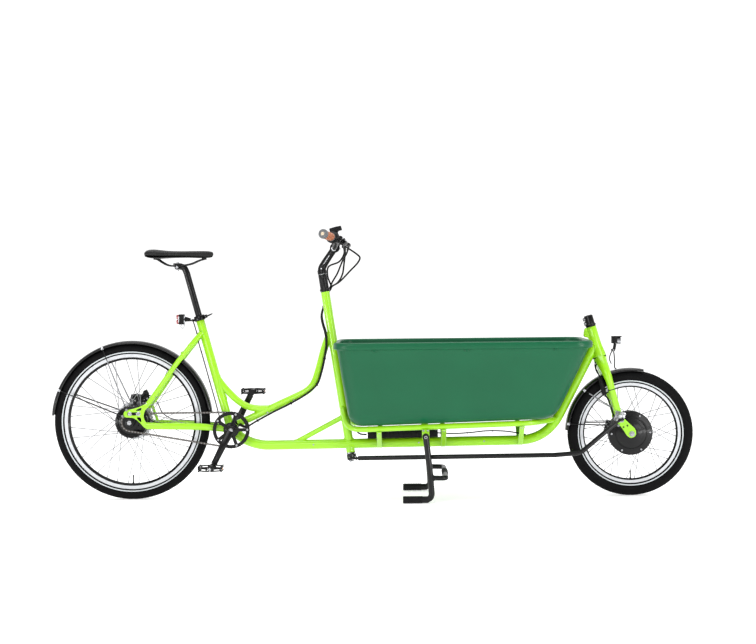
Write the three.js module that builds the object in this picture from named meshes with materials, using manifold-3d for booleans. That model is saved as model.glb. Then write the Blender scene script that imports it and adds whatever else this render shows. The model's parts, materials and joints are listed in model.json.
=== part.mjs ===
// Two-wheeled cargo bicycle with a long low frame and an open cargo tub between the rider and
// the front wheel. The front wheel is steered by a tie rod from the foot of the rider's column.
// Millimetres. +X forward, +Y to the rider's left, +Z up. The origin is on the ground, under the
// middle of the bounding box.

import * as THREE from 'three';
import { mergeVertices } from 'three/addons/utils/BufferGeometryUtils.js';
import Module from 'manifold-3d';

const wasm = await Module();
wasm.setup();

// ---------------------------------------------------------------- driving dimensions

const WHEELBASE = 2064;
const REAR_TYRE = { radius: 324, width: 47, rimOuter: 285, rimInner: 258 };
const FRONT_TYRE = { radius: 259, width: 50, rimOuter: 211, rimInner: 189 };
const REAR_GUARD_RADIUS = 336;
const FRONT_GUARD_RADIUS = 269;
const GAP = 0.3;
const SIMPLIFY = 0.04;

const REAR_AXLE_X = (REAR_GUARD_RADIUS - FRONT_TYRE.radius - WHEELBASE) / 2;
const REAR_AXLE = [REAR_AXLE_X, 0, REAR_TYRE.radius];
const FRONT_AXLE = [REAR_AXLE_X + WHEELBASE, 0, FRONT_TYRE.radius];
const BOTTOM_BRACKET = [-577, 0, 289];

const SEAT_TUBE = { foot: [-587, 0, 300], top: [-708, 0, 749], radius: 17.5, bore: 14.0 };
const SEATPOST = { radius: 13.6, exposed: 205, inserted: 130, drop: 110 };

const COLUMN = { top: [-186, 0, 858], bottom: [-85.6, 0, 184], radius: 18, bore: 15, shaft: 13.5 };
const HEAD = { top: [912, 0, 702], bottom: [948, 0, 572], topRadius: 20.5, bottomRadius: 26 };
const STEERER_RADIUS = 14;
const HEAD_BORE = 16;

const BEAM_RADIUS = 20;
const BEAM_REAR = [-480, 0, 219];
const BEAM_FRONT_CORNER = [725, 0, 233.5];
const BEAM_HEAD_END = [926, 0, 622];
const BEAM_BEND = 195;

const TUB = {
  rimRear: -146, rimFront: 901.5, rimHalfWidth: 248, rimTop: 650, skirt: 28, overhang: 14,
  rearLean: 0.158, frontLean: 0.4417, sideLean: 0.16, wall: 4.5, planRadius: 62,
  floorRear: 308, floorSlope: 0.03, floorRadius: 52,
};
const RAIL = { radius: 11.5, halfSpacing: 148 };
const HOOP_STATIONS = [34, 298, 615];

const STEER_ARM = 130;
const ROD_RADIUS = 9.5;

const CRANK_LENGTH = 165;
const CRANK_LEAN = 27 * Math.PI / 180;
const CHAIN_PITCH = 12.7;
const CHAINRING_TEETH = 36;
const SPROCKET_TEETH = 18;
const CHAIN_Y = -50;

const STAND = { pivot: [223, 0, 267], halfWidth: 200, footRadius: 15, legRadius: 12.5, barX: 303, barZ: 101 };

const HANDLEBAR = { centre: [-143, 0, 1036], gripStart: [-128, 150, 1068], end: [-176, 310, 1085] };

// ---------------------------------------------------------------- solids from three.js geometry

function vec(p) {
  return new THREE.Vector3(p[0], p[1], p[2]);
}

// Turns a closed three.js geometry into a solid, with its faces pointing outwards.
function solid(geometry) {
  const bare = new THREE.BufferGeometry();
  bare.setAttribute('position', geometry.getAttribute('position').clone());
  if (geometry.index) bare.setIndex(geometry.index.clone());
  const merged = mergeVertices(bare, 1e-3);
  const points = merged.getAttribute('position');
  const source = merged.index.array;
  const triangles = [];
  let volume = 0;
  const [a, b, c] = [new THREE.Vector3(), new THREE.Vector3(), new THREE.Vector3()];
  for (let i = 0; i < source.length; i += 3) {
    const [p, q, r] = [source[i], source[i + 1], source[i + 2]];
    if (p === q || q === r || r === p) continue;
    triangles.push([p, q, r]);
    a.fromBufferAttribute(points, p);
    b.fromBufferAttribute(points, q);
    c.fromBufferAttribute(points, r);
    volume += a.dot(b.cross(c));
  }
  const triVerts = new Uint32Array(triangles.flatMap(([p, q, r]) => (volume > 0 ? [p, q, r] : [p, r, q])));
  return new wasm.Manifold(new wasm.Mesh({
    numProp: 3, vertProperties: new Float32Array(points.array), triVerts,
  }));
}

function join(...solids) {
  return solids.reduce((whole, next) => whole.add(next));
}

function cut(whole, ...tools) {
  return tools.reduce((left, tool) => left.subtract(tool), whole);
}

// The largest body of a cut shape, without the slivers that a slanting cut leaves beyond it.
function largest(shape) {
  return shape.decompose().reduce((best, body) => (body.volume() > best.volume() ? body : best));
}

function mirrored(shape) {
  return shape.mirror([0, 1, 0]);
}

// A matrix that carries local +Y onto a direction, and the local origin onto a point.
function axisFrame(origin, direction) {
  const turn = new THREE.Quaternion().setFromUnitVectors(new THREE.Vector3(0, 1, 0), vec(direction).normalize());
  return new THREE.Matrix4().compose(vec(origin), turn, new THREE.Vector3(1, 1, 1));
}

// A round bar between two points, with the second radius at its far end.
function bar(from, to, radius, { endRadius = radius, sides = 12 } = {}) {
  const span = vec(to).sub(vec(from));
  const length = span.length();
  const geometry = new THREE.CylinderGeometry(endRadius, radius, length, sides);
  geometry.translate(0, length / 2, 0);
  geometry.applyMatrix4(axisFrame(from, span.toArray()));
  return solid(geometry);
}

// A bar through a point, along Y.
function crossBar(centre, halfLength, radius, sides = 16) {
  const [x, y, z] = centre;
  return bar([x, y - halfLength, z], [x, y + halfLength, z], radius, { sides });
}

function block(centre, size, tilt = 0) {
  const geometry = new THREE.BoxGeometry(...size);
  geometry.rotateY(tilt);
  geometry.translate(...centre);
  return solid(geometry);
}

// A body of revolution. The profile lists [radius, height along the axis] and closes on itself.
function turned(origin, direction, profile, segments = 32) {
  const outline = profile.map(([radius, height]) => new THREE.Vector2(radius, height));
  outline.push(outline[0].clone());
  const geometry = new THREE.LatheGeometry(outline, segments);
  geometry.applyMatrix4(axisFrame(origin, direction));
  return solid(geometry);
}

// A curve through a list of stations, with one extrusion step from each station to the next.
class Route extends THREE.Curve {
  constructor(stations) {
    super();
    this.stations = stations;
  }

  getPoint(t) {
    const place = t * (this.stations.length - 1);
    const index = Math.min(Math.floor(place), this.stations.length - 2);
    return this.stations[index].clone().lerp(this.stations[index + 1], place - index);
  }

  getTangent(t) {
    const index = Math.round(t * (this.stations.length - 1));
    const [before, here, after] = [index - 1, index, index + 1].map((i) => this.stations[i]);
    const arriving = before ? here.clone().sub(before).normalize() : new THREE.Vector3();
    const leaving = after ? after.clone().sub(here).normalize() : new THREE.Vector3();
    return arriving.add(leaving).normalize();
  }

  getPointAt(u) {
    return this.getPoint(u);
  }

  getTangentAt(u) {
    return this.getTangent(u);
  }

  getSpacedPoints() {
    return this.stations;
  }
}

// Stations for straight runs with a rounded bend at each inner point.
function bentRoute(points, bendRadius, perBend = 5) {
  const corners = points.map(vec);
  const stations = [corners[0]];
  for (let i = 1; i < corners.length - 1; i += 1) {
    const corner = corners[i];
    const back = corners[i - 1].clone().sub(corner).normalize();
    const ahead = corners[i + 1].clone().sub(corner).normalize();
    const reach = bendRadius * Math.tan((Math.PI - back.angleTo(ahead)) / 2);
    const enter = corner.clone().addScaledVector(back, reach);
    const leave = corner.clone().addScaledVector(ahead, reach);
    stations.push(...new THREE.QuadraticBezierCurve3(enter, corner, leave).getPoints(perBend));
  }
  stations.push(corners[corners.length - 1]);
  return stations;
}

// Stations along a smooth curve through the points.
function smoothRoute(points, steps) {
  return new THREE.CatmullRomCurve3(points.map(vec), false, 'centripetal').getSpacedPoints(steps);
}

// A tube through stations. The section is round, or an oval when a second radius is given.
function tube(stations, radius, { sides = 10, across = radius } = {}) {
  const section = new THREE.Shape(Array.from({ length: sides }, (_, i) => {
    const angle = 2 * Math.PI * (i + 0.5) / sides;
    return new THREE.Vector2(radius * Math.cos(angle), across * Math.sin(angle));
  }));
  return solid(new THREE.ExtrudeGeometry(section, {
    steps: stations.length - 1, bevelEnabled: false, extrudePath: new Route(stations),
  }));
}

// A plate parallel to the XZ plane: outline points are [x, z], and the plate spans y0 to y1.
function plate(outline, y0, y1, holes = []) {
  const points = outline.map(([x, z]) => new THREE.Vector2(x, z));
  if (THREE.ShapeUtils.isClockWise(points)) points.reverse();
  const shape = new THREE.Shape(points);
  for (const { centre, radius, sides = 16 } of holes) {
    const rim = Array.from({ length: sides }, (_, i) => {
      const angle = -2 * Math.PI * i / sides;
      return new THREE.Vector2(centre[0] + radius * Math.cos(angle), centre[1] + radius * Math.sin(angle));
    });
    shape.holes.push(new THREE.Path(rim));
  }
  const geometry = new THREE.ExtrudeGeometry(shape, { depth: y1 - y0, bevelEnabled: false });
  geometry.rotateX(Math.PI / 2);
  geometry.translate(0, y1, 0);
  return solid(geometry);
}

// A skin over a stack of rings with the same number of points, closed by a fan at each end.
function loft(rings) {
  const count = rings[0].length;
  const positions = rings.flat(2);
  const index = [];
  for (let row = 0; row + 1 < rings.length; row += 1) {
    for (let i = 0; i < count; i += 1) {
      const next = (i + 1) % count;
      const [a, b] = [row * count + i, row * count + next];
      index.push(a, b, a + count, b, b + count, a + count);
    }
  }
  const capped = [[rings[0], 0, false], [rings[rings.length - 1], (rings.length - 1) * count, true]];
  for (const [ring, base, last] of capped) {
    const middle = [0, 1, 2].map((axis) => ring.reduce((sum, point) => sum + point[axis], 0) / count);
    const centre = positions.length / 3;
    positions.push(...middle);
    for (let i = 0; i < count; i += 1) {
      const [a, b] = [base + i, base + (i + 1) % count];
      index.push(...(last ? [a, b, centre] : [b, a, centre]));
    }
  }
  const geometry = new THREE.BufferGeometry();
  geometry.setAttribute('position', new THREE.Float32BufferAttribute(positions, 3));
  geometry.setIndex(index);
  return solid(geometry);
}

// ---------------------------------------------------------------- shared places and outlines

const columnAxis = vec(COLUMN.top).sub(vec(COLUMN.bottom)).normalize().toArray();
const headAxis = vec(HEAD.top).sub(vec(HEAD.bottom)).normalize().toArray();
const seatAxis = vec(SEAT_TUBE.top).sub(vec(SEAT_TUBE.foot)).normalize().toArray();
const [REAR_X, , REAR_Z] = REAR_AXLE;
const [FRONT_X, , FRONT_Z] = FRONT_AXLE;

// The point a distance along an axis from an origin.
function onAxis(origin, direction, distance) {
  return vec(origin).addScaledVector(vec(direction), distance).toArray();
}

// The point of an axis, given by one of its points and its direction, at a height.
function axisAtHeight(origin, direction, z) {
  return onAxis(origin, direction, (z - origin[2]) / direction[2]);
}

function polar(centreX, centreZ, radius, degrees) {
  const angle = degrees * Math.PI / 180;
  return [centreX + radius * Math.cos(angle), centreZ + radius * Math.sin(angle)];
}

function arcOutline(centreX, centreZ, radius, count = 32) {
  return Array.from({ length: count }, (_, i) => polar(centreX, centreZ, radius, 360 * i / count));
}

function tubFloor(x) {
  return TUB.floorRear + TUB.floorSlope * (x + 41);
}

function pitchRadius(teeth) {
  return CHAIN_PITCH / 2 / Math.sin(Math.PI / teeth);
}

// A toothed outline whose tips stay just inside the chain's inner edge.
function toothedOutline(centreX, centreZ, teeth) {
  const tip = pitchRadius(teeth) - 0.6;
  return Array.from({ length: 2 * teeth }, (_, i) => (
    polar(centreX, centreZ, i % 2 ? tip : tip - 4.5, 180 * i / teeth)));
}

const BALL_REAR = [axisAtHeight(COLUMN.top, columnAxis, 176)[0], -STEER_ARM, 176];
const BALL_FRONT = [axisAtHeight(HEAD.top, headAxis, 325)[0], -STEER_ARM, 325];

const model = new THREE.Group();

function add(name, shape, { color, roughness, metalness }) {
  const { vertProperties, triVerts, numProp } = shape.simplify(SIMPLIFY).getMesh();
  const positions = new Float32Array(triVerts.length * 3);
  triVerts.forEach((vertex, i) => {
    for (let axis = 0; axis < 3; axis += 1) positions[3 * i + axis] = vertProperties[vertex * numProp + axis];
  });
  const geometry = new THREE.BufferGeometry();
  geometry.setAttribute('position', new THREE.BufferAttribute(positions, 3));
  geometry.computeVertexNormals();
  const piece = new THREE.Mesh(geometry, new THREE.MeshStandardMaterial({ color, roughness, metalness }));
  piece.name = name;
  model.add(piece);
}

const LIME = { color: 0xadee2f, roughness: 0.3, metalness: 0.1 };
const TUB_GREEN = { color: 0x357a5c, roughness: 0.5, metalness: 0 };
const BLACK_METAL = { color: 0x17171a, roughness: 0.4, metalness: 0.6 };
const BLACK_PLASTIC = { color: 0x1b1b1d, roughness: 0.5, metalness: 0 };
const GLOSS_BLACK = { color: 0x222226, roughness: 0.2, metalness: 0 };
const RUBBER = { color: 0x161617, roughness: 0.9, metalness: 0 };
const SILVER = { color: 0xb8babd, roughness: 0.35, metalness: 1 };
const TAN = { color: 0x9a6a3a, roughness: 0.7, metalness: 0 };

// ---------------------------------------------------------------- frame tubes

// The head tube's outside: wide at its lower bearing and slim above.
function headTubeBody(grow, bore) {
  const length = vec(HEAD.top).distanceTo(vec(HEAD.bottom));
  return turned(HEAD.bottom, headAxis, [
    [bore, -grow], [HEAD.bottomRadius + grow, -grow], [HEAD.bottomRadius + grow, 16 + grow],
    [HEAD.topRadius + grow, 52], [HEAD.topRadius + grow, length + grow], [bore, length + grow],
  ], 20);
}

function headTubeSpace() {
  return headTubeBody(GAP + 0.2, 0);
}

function columnTube() {
  const length = vec(COLUMN.top).distanceTo(vec(COLUMN.bottom));
  return turned(COLUMN.bottom, columnAxis, [
    [COLUMN.bore, 0], [COLUMN.radius, 0], [COLUMN.radius, length], [COLUMN.bore, length],
  ], 20);
}

function columnSpace(extra) {
  return bar(onAxis(COLUMN.bottom, columnAxis, -20), onAxis(COLUMN.top, columnAxis, 20), COLUMN.radius + extra, {
    sides: 20,
  });
}

function bottomBracketSpace() {
  return crossBar(BOTTOM_BRACKET, 60, 21 + GAP, 20);
}

function seatTubeSpace() {
  return bar(onAxis(SEAT_TUBE.foot, seatAxis, -30), SEAT_TUBE.top, SEAT_TUBE.radius + GAP, { sides: 16 });
}

// The hoops hang the cradle rails from the beam: flat straps bent in a shallow V under it.
function cradleHoop(x) {
  const railZ = tubFloor(x) - 2 * RAIL.radius - 2.4;
  const beamZ = BEAM_REAR[2] + (x - BEAM_REAR[0]) * 0.012 - BEAM_RADIUS - 2;
  const upper = [[-RAIL.halfSpacing - 8, railZ], [-RAIL.halfSpacing + 10, railZ], [-26, beamZ + 12], [0, beamZ + 5]];
  const lower = [[-RAIL.halfSpacing - 8, railZ - 5], [-RAIL.halfSpacing + 8, railZ - 5], [-24, beamZ], [0, beamZ]];
  const half = [...upper, ...lower.reverse()];
  const shape = new THREE.Shape(half.map(([y, z]) => new THREE.Vector2(y, z)));
  const geometry = new THREE.ExtrudeGeometry(shape, { depth: 20, bevelEnabled: false });
  geometry.applyMatrix4(new THREE.Matrix4().makeBasis(vec([0, 1, 0]), vec([0, 0, 1]), vec([1, 0, 0])));
  geometry.translate(x - 10, 0, 0);
  const side = solid(geometry);
  return join(side, mirrored(side));
}

function beamRoute() {
  return [...smoothRoute([[-575, 0, 284], [-546, 0, 258], [-504, 0, 235], [-452, 0, 221.5], [-400, 0, 220]], 6),
    ...bentRoute([[-400, 0, 220], BEAM_FRONT_CORNER, BEAM_HEAD_END], BEAM_BEND, 6).slice(1)];
}

function beamSpace() {
  return tube(beamRoute(), BEAM_RADIUS + GAP, { sides: 12 });
}

// The web behind the head tube, with a notch that clears the tub's rim.
function headGusset() {
  return plate([[897, 691], [888, 688], [881, 676], [880, 657], [903.5, 654], [903.5, 615], [886, 611], [886, 596],
    [902, 572], [930, 600], [922, 660]], -9, 9);
}

function mainBeam() {
  const brace = bar([-318, 0, 229], [-112, 0, 338], 10.5, { sides: 8 });
  const beam = join(tube(beamRoute(), BEAM_RADIUS, { sides: 12 }), ...HOOP_STATIONS.map(cradleHoop), brace, headGusset());
  return cut(beam, bottomBracketSpace(), columnSpace(GAP), headTubeSpace());
}

function seatTube() {
  const tubeLength = vec(SEAT_TUBE.top).distanceTo(vec(SEAT_TUBE.foot));
  const boreDepth = SEATPOST.inserted + SEATPOST.drop + 8;
  const outer = turned(SEAT_TUBE.foot, seatAxis, [
    [0, -12], [SEAT_TUBE.radius, -12], [SEAT_TUBE.radius, tubeLength],
    [SEAT_TUBE.bore, tubeLength], [SEAT_TUBE.bore, tubeLength - boreDepth], [0, tubeLength - boreDepth],
  ], 16);
  return cut(outer, bottomBracketSpace());
}

function seatstays() {
  const side = tube([[-699, -19, 690], [-745, -37, 634], [-772, -43, 600], [-800, -47, 565], [-868, -61, 468],
    [-916, -71, 401]].map(vec), 10.5, { sides: 8 });
  const bridge = bar([-777, 42, 607], [-777, -42, 607], 6, { sides: 6 });
  return cut(join(side, mirrored(side), bridge), seatTubeSpace());
}

// The rear dropout: a plate that joins the stays, with a long slot for the sliding axle plate.
function dropout() {
  const outline = [[-1018, 360], [-1016, 351], [-1008, 346], [-979, 345], [-966, 338], [-953, 327], [-943, 316],
    [-934, 305], [-920, 297], [-908, 297], [-907, 318], [-917, 327], [-924, 342], [-926, 358], [-918, 376],
    [-908, 390], [-911, 400], [-922, 404], [-940, 395], [-960, 386], [-984, 380], [-1006, 376], [-1015, 369]];
  const slot = block([-976, -72, 361], [50, 20, 13]);
  return cut(plate(outline, -76, -68), slot);
}

function chainstays() {
  const shell = turned([BOTTOM_BRACKET[0], -34, BOTTOM_BRACKET[2]], [0, 1, 0], [
    [12, 0], [21, 0], [21, 68], [12, 68]], 20);
  const stay = cut(tube([[-590, -26, 291], [-640, -31.5, 296], [-690, -39, 302], [-766, -53, 306],
    [-860, -67, 309], [-920, -72, 311]].map(vec), 8.5, { sides: 8, across: 14 }), crossBar(BOTTOM_BRACKET, 40, 14));
  const side = join(stay, dropout());
  const strut = bar([-922, 72, 385], [-899, 70, 318], 6, { sides: 6 });
  return join(shell, side, mirrored(side), strut);
}

function downTube() {
  const down = tube([[-553, 0, 311], [-495, 0, 336], [-377, 0, 391], [-315, 0, 419], [-285, 0, 433],
    [-262, 0, 447], [-242, 0, 467], [-230, 0, 489], [-220, 0, 518], [-208, 0, 560], [-193, 0, 615], [-176, 0, 663],
    [-171, 0, 677]].map(vec), 15, { sides: 8 });
  const step = tube(smoothRoute([[-655, 0, 533], [-624, 0, 482], [-585, 0, 436], [-548, 0, 402], [-511, 0, 381],
    [-474, 0, 373], [-425, 0, 372]], 8), 14);
  return largest(cut(join(down, step), bottomBracketSpace(), columnSpace(GAP), seatTubeSpace(), beamSpace()));
}

// A rail of the cradle, with the drilled block on its outside that holds one end of the stand's pivot.
function cradleRail() {
  const y = -RAIL.halfSpacing;
  const under = (x, side) => [x, side, tubFloor(x) - RAIL.radius - 1.5];
  const rear = smoothRoute([[-120, -12, 372], [-109, -48, 340], [-98, -90, 314], [-76, -124, 299],
    under(-35, y + 3), under(20, y)], 10);
  const front = smoothRoute([under(610, y), under(660, y + 14), under(706, y + 62), under(738, -48),
    under(756, -14)], 7);
  const [standX, , standZ] = STAND.pivot;
  const standBlock = block([standX, y - 12, standZ + 8], [30, 16, 40]);
  const rail = join(tube([...rear, ...front], RAIL.radius, { sides: 8 }), standBlock);
  return cut(rail, columnSpace(GAP), beamSpace(), crossBar(STAND.pivot, STAND.halfWidth, 8.4, 12));
}

add('main_beam', mainBeam(), LIME);
add('seat_tube', seatTube(), LIME);
add('seatstays', cut(seatstays(), chainstaysSpace()), LIME);
add('chainstays', chainstays(), LIME);
add('column_tube', columnTube(), LIME);
add('down_tube', downTube(), LIME);
add('cradle_rail_right', cradleRail(), LIME);
add('cradle_rail_left', mirrored(cradleRail()), LIME);
add('head_tube', headTubeBody(0, HEAD_BORE), LIME);

// Room for the dropout plates where the seatstays come down to them.
function chainstaysSpace() {
  const side = plate([[-1020, 300], [-1020, 379], [-938, 397], [-921, 406], [-902, 402], [-902, 300]], -76.4, -67.6);
  return join(side, mirrored(side));
}

// ---------------------------------------------------------------- cargo tub

// One ring of the tub: a rounded rectangle at a height, drawn in or out by an offset.
function tubRing(z, offset, { tilt = 0, shrink = 0 } = {}) {
  const depth = TUB.rimTop - TUB.skirt - z;
  const grow = offset - shrink;
  const rear = TUB.rimRear + TUB.overhang + depth * TUB.rearLean - grow;
  const front = TUB.rimFront - TUB.overhang - 4 - depth * TUB.frontLean + grow;
  const halfWidth = TUB.rimHalfWidth - TUB.overhang - depth * TUB.sideLean + grow;
  const radius = Math.max(TUB.planRadius + grow, 12);
  const ring = [];
  const corners = [[front, halfWidth, 0], [rear, halfWidth, 90], [rear, -halfWidth, 180], [front, -halfWidth, 270]];
  for (const [x, y, start] of corners) {
    const centreX = x - Math.sign(x - 370) * radius;
    const centreY = y - Math.sign(y) * radius;
    for (const turn of [0, 22.5, 45, 67.5, 90]) {
      const [px, py] = polar(centreX, centreY, radius, start + turn);
      ring.push([px, py, z + tilt * TUB.floorSlope * (px - 370)]);
    }
  }
  return ring;
}

function tubWallRings(inset) {
  const floor = tubFloor(370) + inset;
  const radius = TUB.floorRadius - inset;
  const rings = [tubRing(TUB.rimTop - TUB.skirt, -inset), tubRing(470, -inset, { tilt: 0.4 }),
    tubRing(floor + radius, -inset, { tilt: 0.9 })];
  for (const degrees of [22, 45, 68, 90]) {
    const turn = degrees * Math.PI / 180;
    const z = floor + radius * (1 - Math.sin(turn));
    rings.push(tubRing(z, -inset, { tilt: 1, shrink: radius * (1 - Math.cos(turn)) * 0.85 }));
  }
  return rings;
}

function cargoTub() {
  const { rimTop, skirt, overhang, wall } = TUB;
  const level = (ring, z) => ring.map(([x, y]) => [x, y, z]);
  const outer = loft([level(tubRing(rimTop - skirt, overhang - 4), rimTop),
    level(tubRing(rimTop - skirt, overhang), rimTop - 5), level(tubRing(rimTop - skirt, overhang), rimTop - skirt),
    ...tubWallRings(0)]);
  const inner = loft([level(tubRing(rimTop - skirt, -wall + 2), rimTop + 5), ...tubWallRings(wall)]);
  const lugs = [20, 390, 745].map((x) => join(
    block([x, -TUB.rimHalfWidth + overhang - 3, rimTop - skirt - 3], [14, 16, 8]),
    block([x, TUB.rimHalfWidth - overhang + 3, rimTop - skirt - 3], [14, 16, 8])));
  return cut(join(cut(outer, inner), ...lugs), columnSpace(1), headTubeSpace());
}

add('cargo_tub', cargoTub(), TUB_GREEN);

// ---------------------------------------------------------------- wheels

function tyre(axle, { radius, width, rimOuter }) {
  const half = width / 2;
  const bead = rimOuter + 0.6;
  return turned(axle, [0, 1, 0], [
    [bead, -12], [(bead + radius) / 2 - 4, -half], [radius - 8, -half * 0.76], [radius, 0],
    [radius - 8, half * 0.76], [(bead + radius) / 2 - 4, half], [bead, 12],
  ], 40);
}

function rim(axle, { rimOuter, rimInner }) {
  return turned(axle, [0, 1, 0], [
    [rimInner, -4], [rimOuter, -12.5], [rimOuter, 12.5], [rimInner, 4],
  ], 40);
}

// The hub shells. Their spokes are thin wires that are left out of this model.
function rearHub() {
  return turned(REAR_AXLE, [0, 1, 0], [
    [7, -38], [40, -38], [68, -30], [68, -24], [64, -20], [64, 22], [68, 26], [68, 32], [34, 44], [7, 44]], 24);
}

function hubMotor() {
  return turned(FRONT_AXLE, [0, 1, 0], [
    [7, -38], [34, -38], [60, -32], [84, -24], [91, -18], [91, 18], [84, 24], [34, 36], [7, 38]], 28);
}

function brakeRotor(axle, y, radius, hubRadius) {
  const [x, , z] = axle;
  const windows = Array.from({ length: 6 }, (_, i) => {
    const [cx, cz] = polar(x, z, (radius + hubRadius) / 2 - 2, 60 * i);
    return { centre: [cx, cz], radius: (radius - hubRadius) / 4 + 4, sides: 6 };
  });
  const disc = arcOutline(x, z, radius, 28);
  return plate(disc, y - 1, y + 1, [{ centre: [x, z], radius: 8 }, ...windows]);
}

// A fixed axle through a hub, with a nut outside each dropout.
function axleShaft(axle, halfLength, nutInner) {
  const nut = (side) => bar([axle[0], side * nutInner, axle[2]], [axle[0], side * (nutInner + 7), axle[2]], 9, {
    sides: 6,
  });
  return join(crossBar(axle, halfLength, 5.6, 12), nut(1), nut(-1));
}

// The rear axle with the two plates that slide in the dropouts, and a round cap outside each.
function rearAxle() {
  const [x, , z] = REAR_AXLE;
  const outline = [[x - 20, z - 8], [x - 12, z - 19], [x + 8, z - 19], [x + 19, z - 8], [x + 26, z + 22], [x + 32, z + 44],
    [x - 8, z + 44], [x - 18, z + 22]];
  const side = join(plate(outline, -67.6, -64), bar([x, -80, z], [x, -66, z], 17, { sides: 20 }));
  return join(crossBar(REAR_AXLE, 84, 5.6, 12), side, mirrored(side));
}

const REAR_ROTOR_Y = 50;
const FRONT_ROTOR_Y = 42;
const REAR_ROTOR_RADIUS = 80;
const FRONT_ROTOR_RADIUS = 90;

add('rear_tyre', tyre(REAR_AXLE, REAR_TYRE), RUBBER);
add('rear_rim', rim(REAR_AXLE, REAR_TYRE), BLACK_METAL);
add('rear_hub', rearHub(), BLACK_METAL);
add('rear_brake_rotor', brakeRotor(REAR_AXLE, REAR_ROTOR_Y, REAR_ROTOR_RADIUS, 30), SILVER);
add('rear_axle', rearAxle(), BLACK_METAL);
add('front_tyre', tyre(FRONT_AXLE, FRONT_TYRE), RUBBER);
add('front_rim', rim(FRONT_AXLE, FRONT_TYRE), BLACK_METAL);
add('hub_motor', hubMotor(), BLACK_METAL);
add('front_brake_rotor', brakeRotor(FRONT_AXLE, FRONT_ROTOR_Y, FRONT_ROTOR_RADIUS, 38), SILVER);
add('front_axle', axleShaft(FRONT_AXLE, 66, 58.4), SILVER);

// A caliper over the edge of a rotor, with a slot that clears the rotor on both sides.
function caliper(axle, rotorY, rotorRadius, degrees) {
  const [x, z] = polar(axle[0], axle[2], rotorRadius - 4, degrees);
  const tilt = -(degrees - 90) * Math.PI / 180;
  const body = block([x, rotorY + 3, z], [54, 24, 34], tilt);
  const slot = turned([axle[0], rotorY, axle[2]], [0, 1, 0], [
    [20, -2.2], [rotorRadius + 3, -2.2], [rotorRadius + 3, 2.2], [20, 2.2]], 32);
  return cut(body, slot);
}

add('rear_brake_caliper', caliper(REAR_AXLE, REAR_ROTOR_Y, REAR_ROTOR_RADIUS, 74), BLACK_METAL);
add('front_brake_caliper', caliper(FRONT_AXLE, FRONT_ROTOR_Y, FRONT_ROTOR_RADIUS, 164), BLACK_METAL);

// ---------------------------------------------------------------- mudguards

// A curved channel round a wheel, from one angle to another, with wire stays down to the dropout.
function mudguard(axle, outer, halfWidth, fromDegrees, toDegrees, stays) {
  const [x, , z] = axle;
  const steps = 14;
  const rings = Array.from({ length: steps + 1 }, (_, i) => {
    const degrees = fromDegrees + (toDegrees - fromDegrees) * i / steps;
    const section = [[outer - 11, halfWidth], [outer - 3, halfWidth - 6], [outer, 0], [outer - 3, 6 - halfWidth],
      [outer - 11, -halfWidth], [outer - 11.5, 2 - halfWidth], [outer - 5, 8 - halfWidth], [outer - 2.5, 0],
      [outer - 5, halfWidth - 8], [outer - 11.5, halfWidth - 2]];
    return section.map(([radius, y]) => {
      const [px, pz] = polar(x, z, radius, degrees);
      return [px, y, pz];
    });
  });
  const wires = stays.map(({ degrees, to }) => {
    const [px, pz] = polar(x, z, outer - 7, degrees);
    const wire = bar([px, -halfWidth + 1, pz], to, 2.2, { sides: 6 });
    return join(wire, mirrored(wire));
  });
  return join(loft(rings), ...wires);
}

add('rear_mudguard', mudguard(REAR_AXLE, REAR_GUARD_RADIUS, 29, 6, 175, [
  { degrees: 156, to: [-1021, -80, 352] }, { degrees: 111, to: [-1004, -80, 377] }]), GLOSS_BLACK);
add('front_mudguard', mudguard(FRONT_AXLE, FRONT_GUARD_RADIUS, 31, 78, 177, [
  { degrees: 137, to: [980, -50, 374] }, { degrees: 171, to: [1012, -82, 296] }]), GLOSS_BLACK);

// ---------------------------------------------------------------- fork and steering

function fork() {
  const legTop = onAxis(HEAD.bottom, headAxis, -20);
  const leg = tube([[legTop[0], 5, legTop[2]], [958, 30, 546], [966, 52, 524], [972, 62, 500], [990, 64, 434],
    [1021, 64, 318]].map(vec), 14, { sides: 8 });
  const dropoutPlate = plate([[1006, 330], [1034, 322], [1085, 272], [1082, 250], [1064, 244], [1044, 256],
    [1014, 300]], 50.5, 58, [{ centre: [FRONT_X, FRONT_Z], radius: 6.2 }]);
  const shoulder = bar([952, 16, 556], [974, 59, 500], 22, { endRadius: 15, sides: 12 });
  const side = join(leg, shoulder, dropoutPlate, bar([1018, 66, 322], [1024, 54, 306], 9, { sides: 8 }));
  const crown = bar(onAxis(HEAD.bottom, headAxis, -16), onAxis(HEAD.bottom, headAxis, -GAP), 19, {
    endRadius: 24, sides: 16,
  });
  const steerer = bar(onAxis(HEAD.bottom, headAxis, -4), onAxis(HEAD.top, headAxis, 44), STEERER_RADIUS, {
    sides: 16,
  });
  return join(steerer, crown, side, mirrored(side));
}

// The split clamp that holds the steerer above the head tube, with two bolt heads behind it.
function forkClamp() {
  const base = onAxis(HEAD.top, headAxis, GAP + 0.5);
  const collar = turned(base, headAxis, [
    [STEERER_RADIUS + GAP, 0], [22, 0], [22, 8], [19, 10], [19, 42], [STEERER_RADIUS + GAP, 42]], 20);
  const bolts = [14, 32].map((height) => {
    const [x, , z] = onAxis(base, headAxis, height);
    return bar([x - 26, 0, z - 7], [x - 16, 0, z - 4.2], 4.5, { sides: 8 });
  });
  return join(collar, ...bolts);
}

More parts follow.
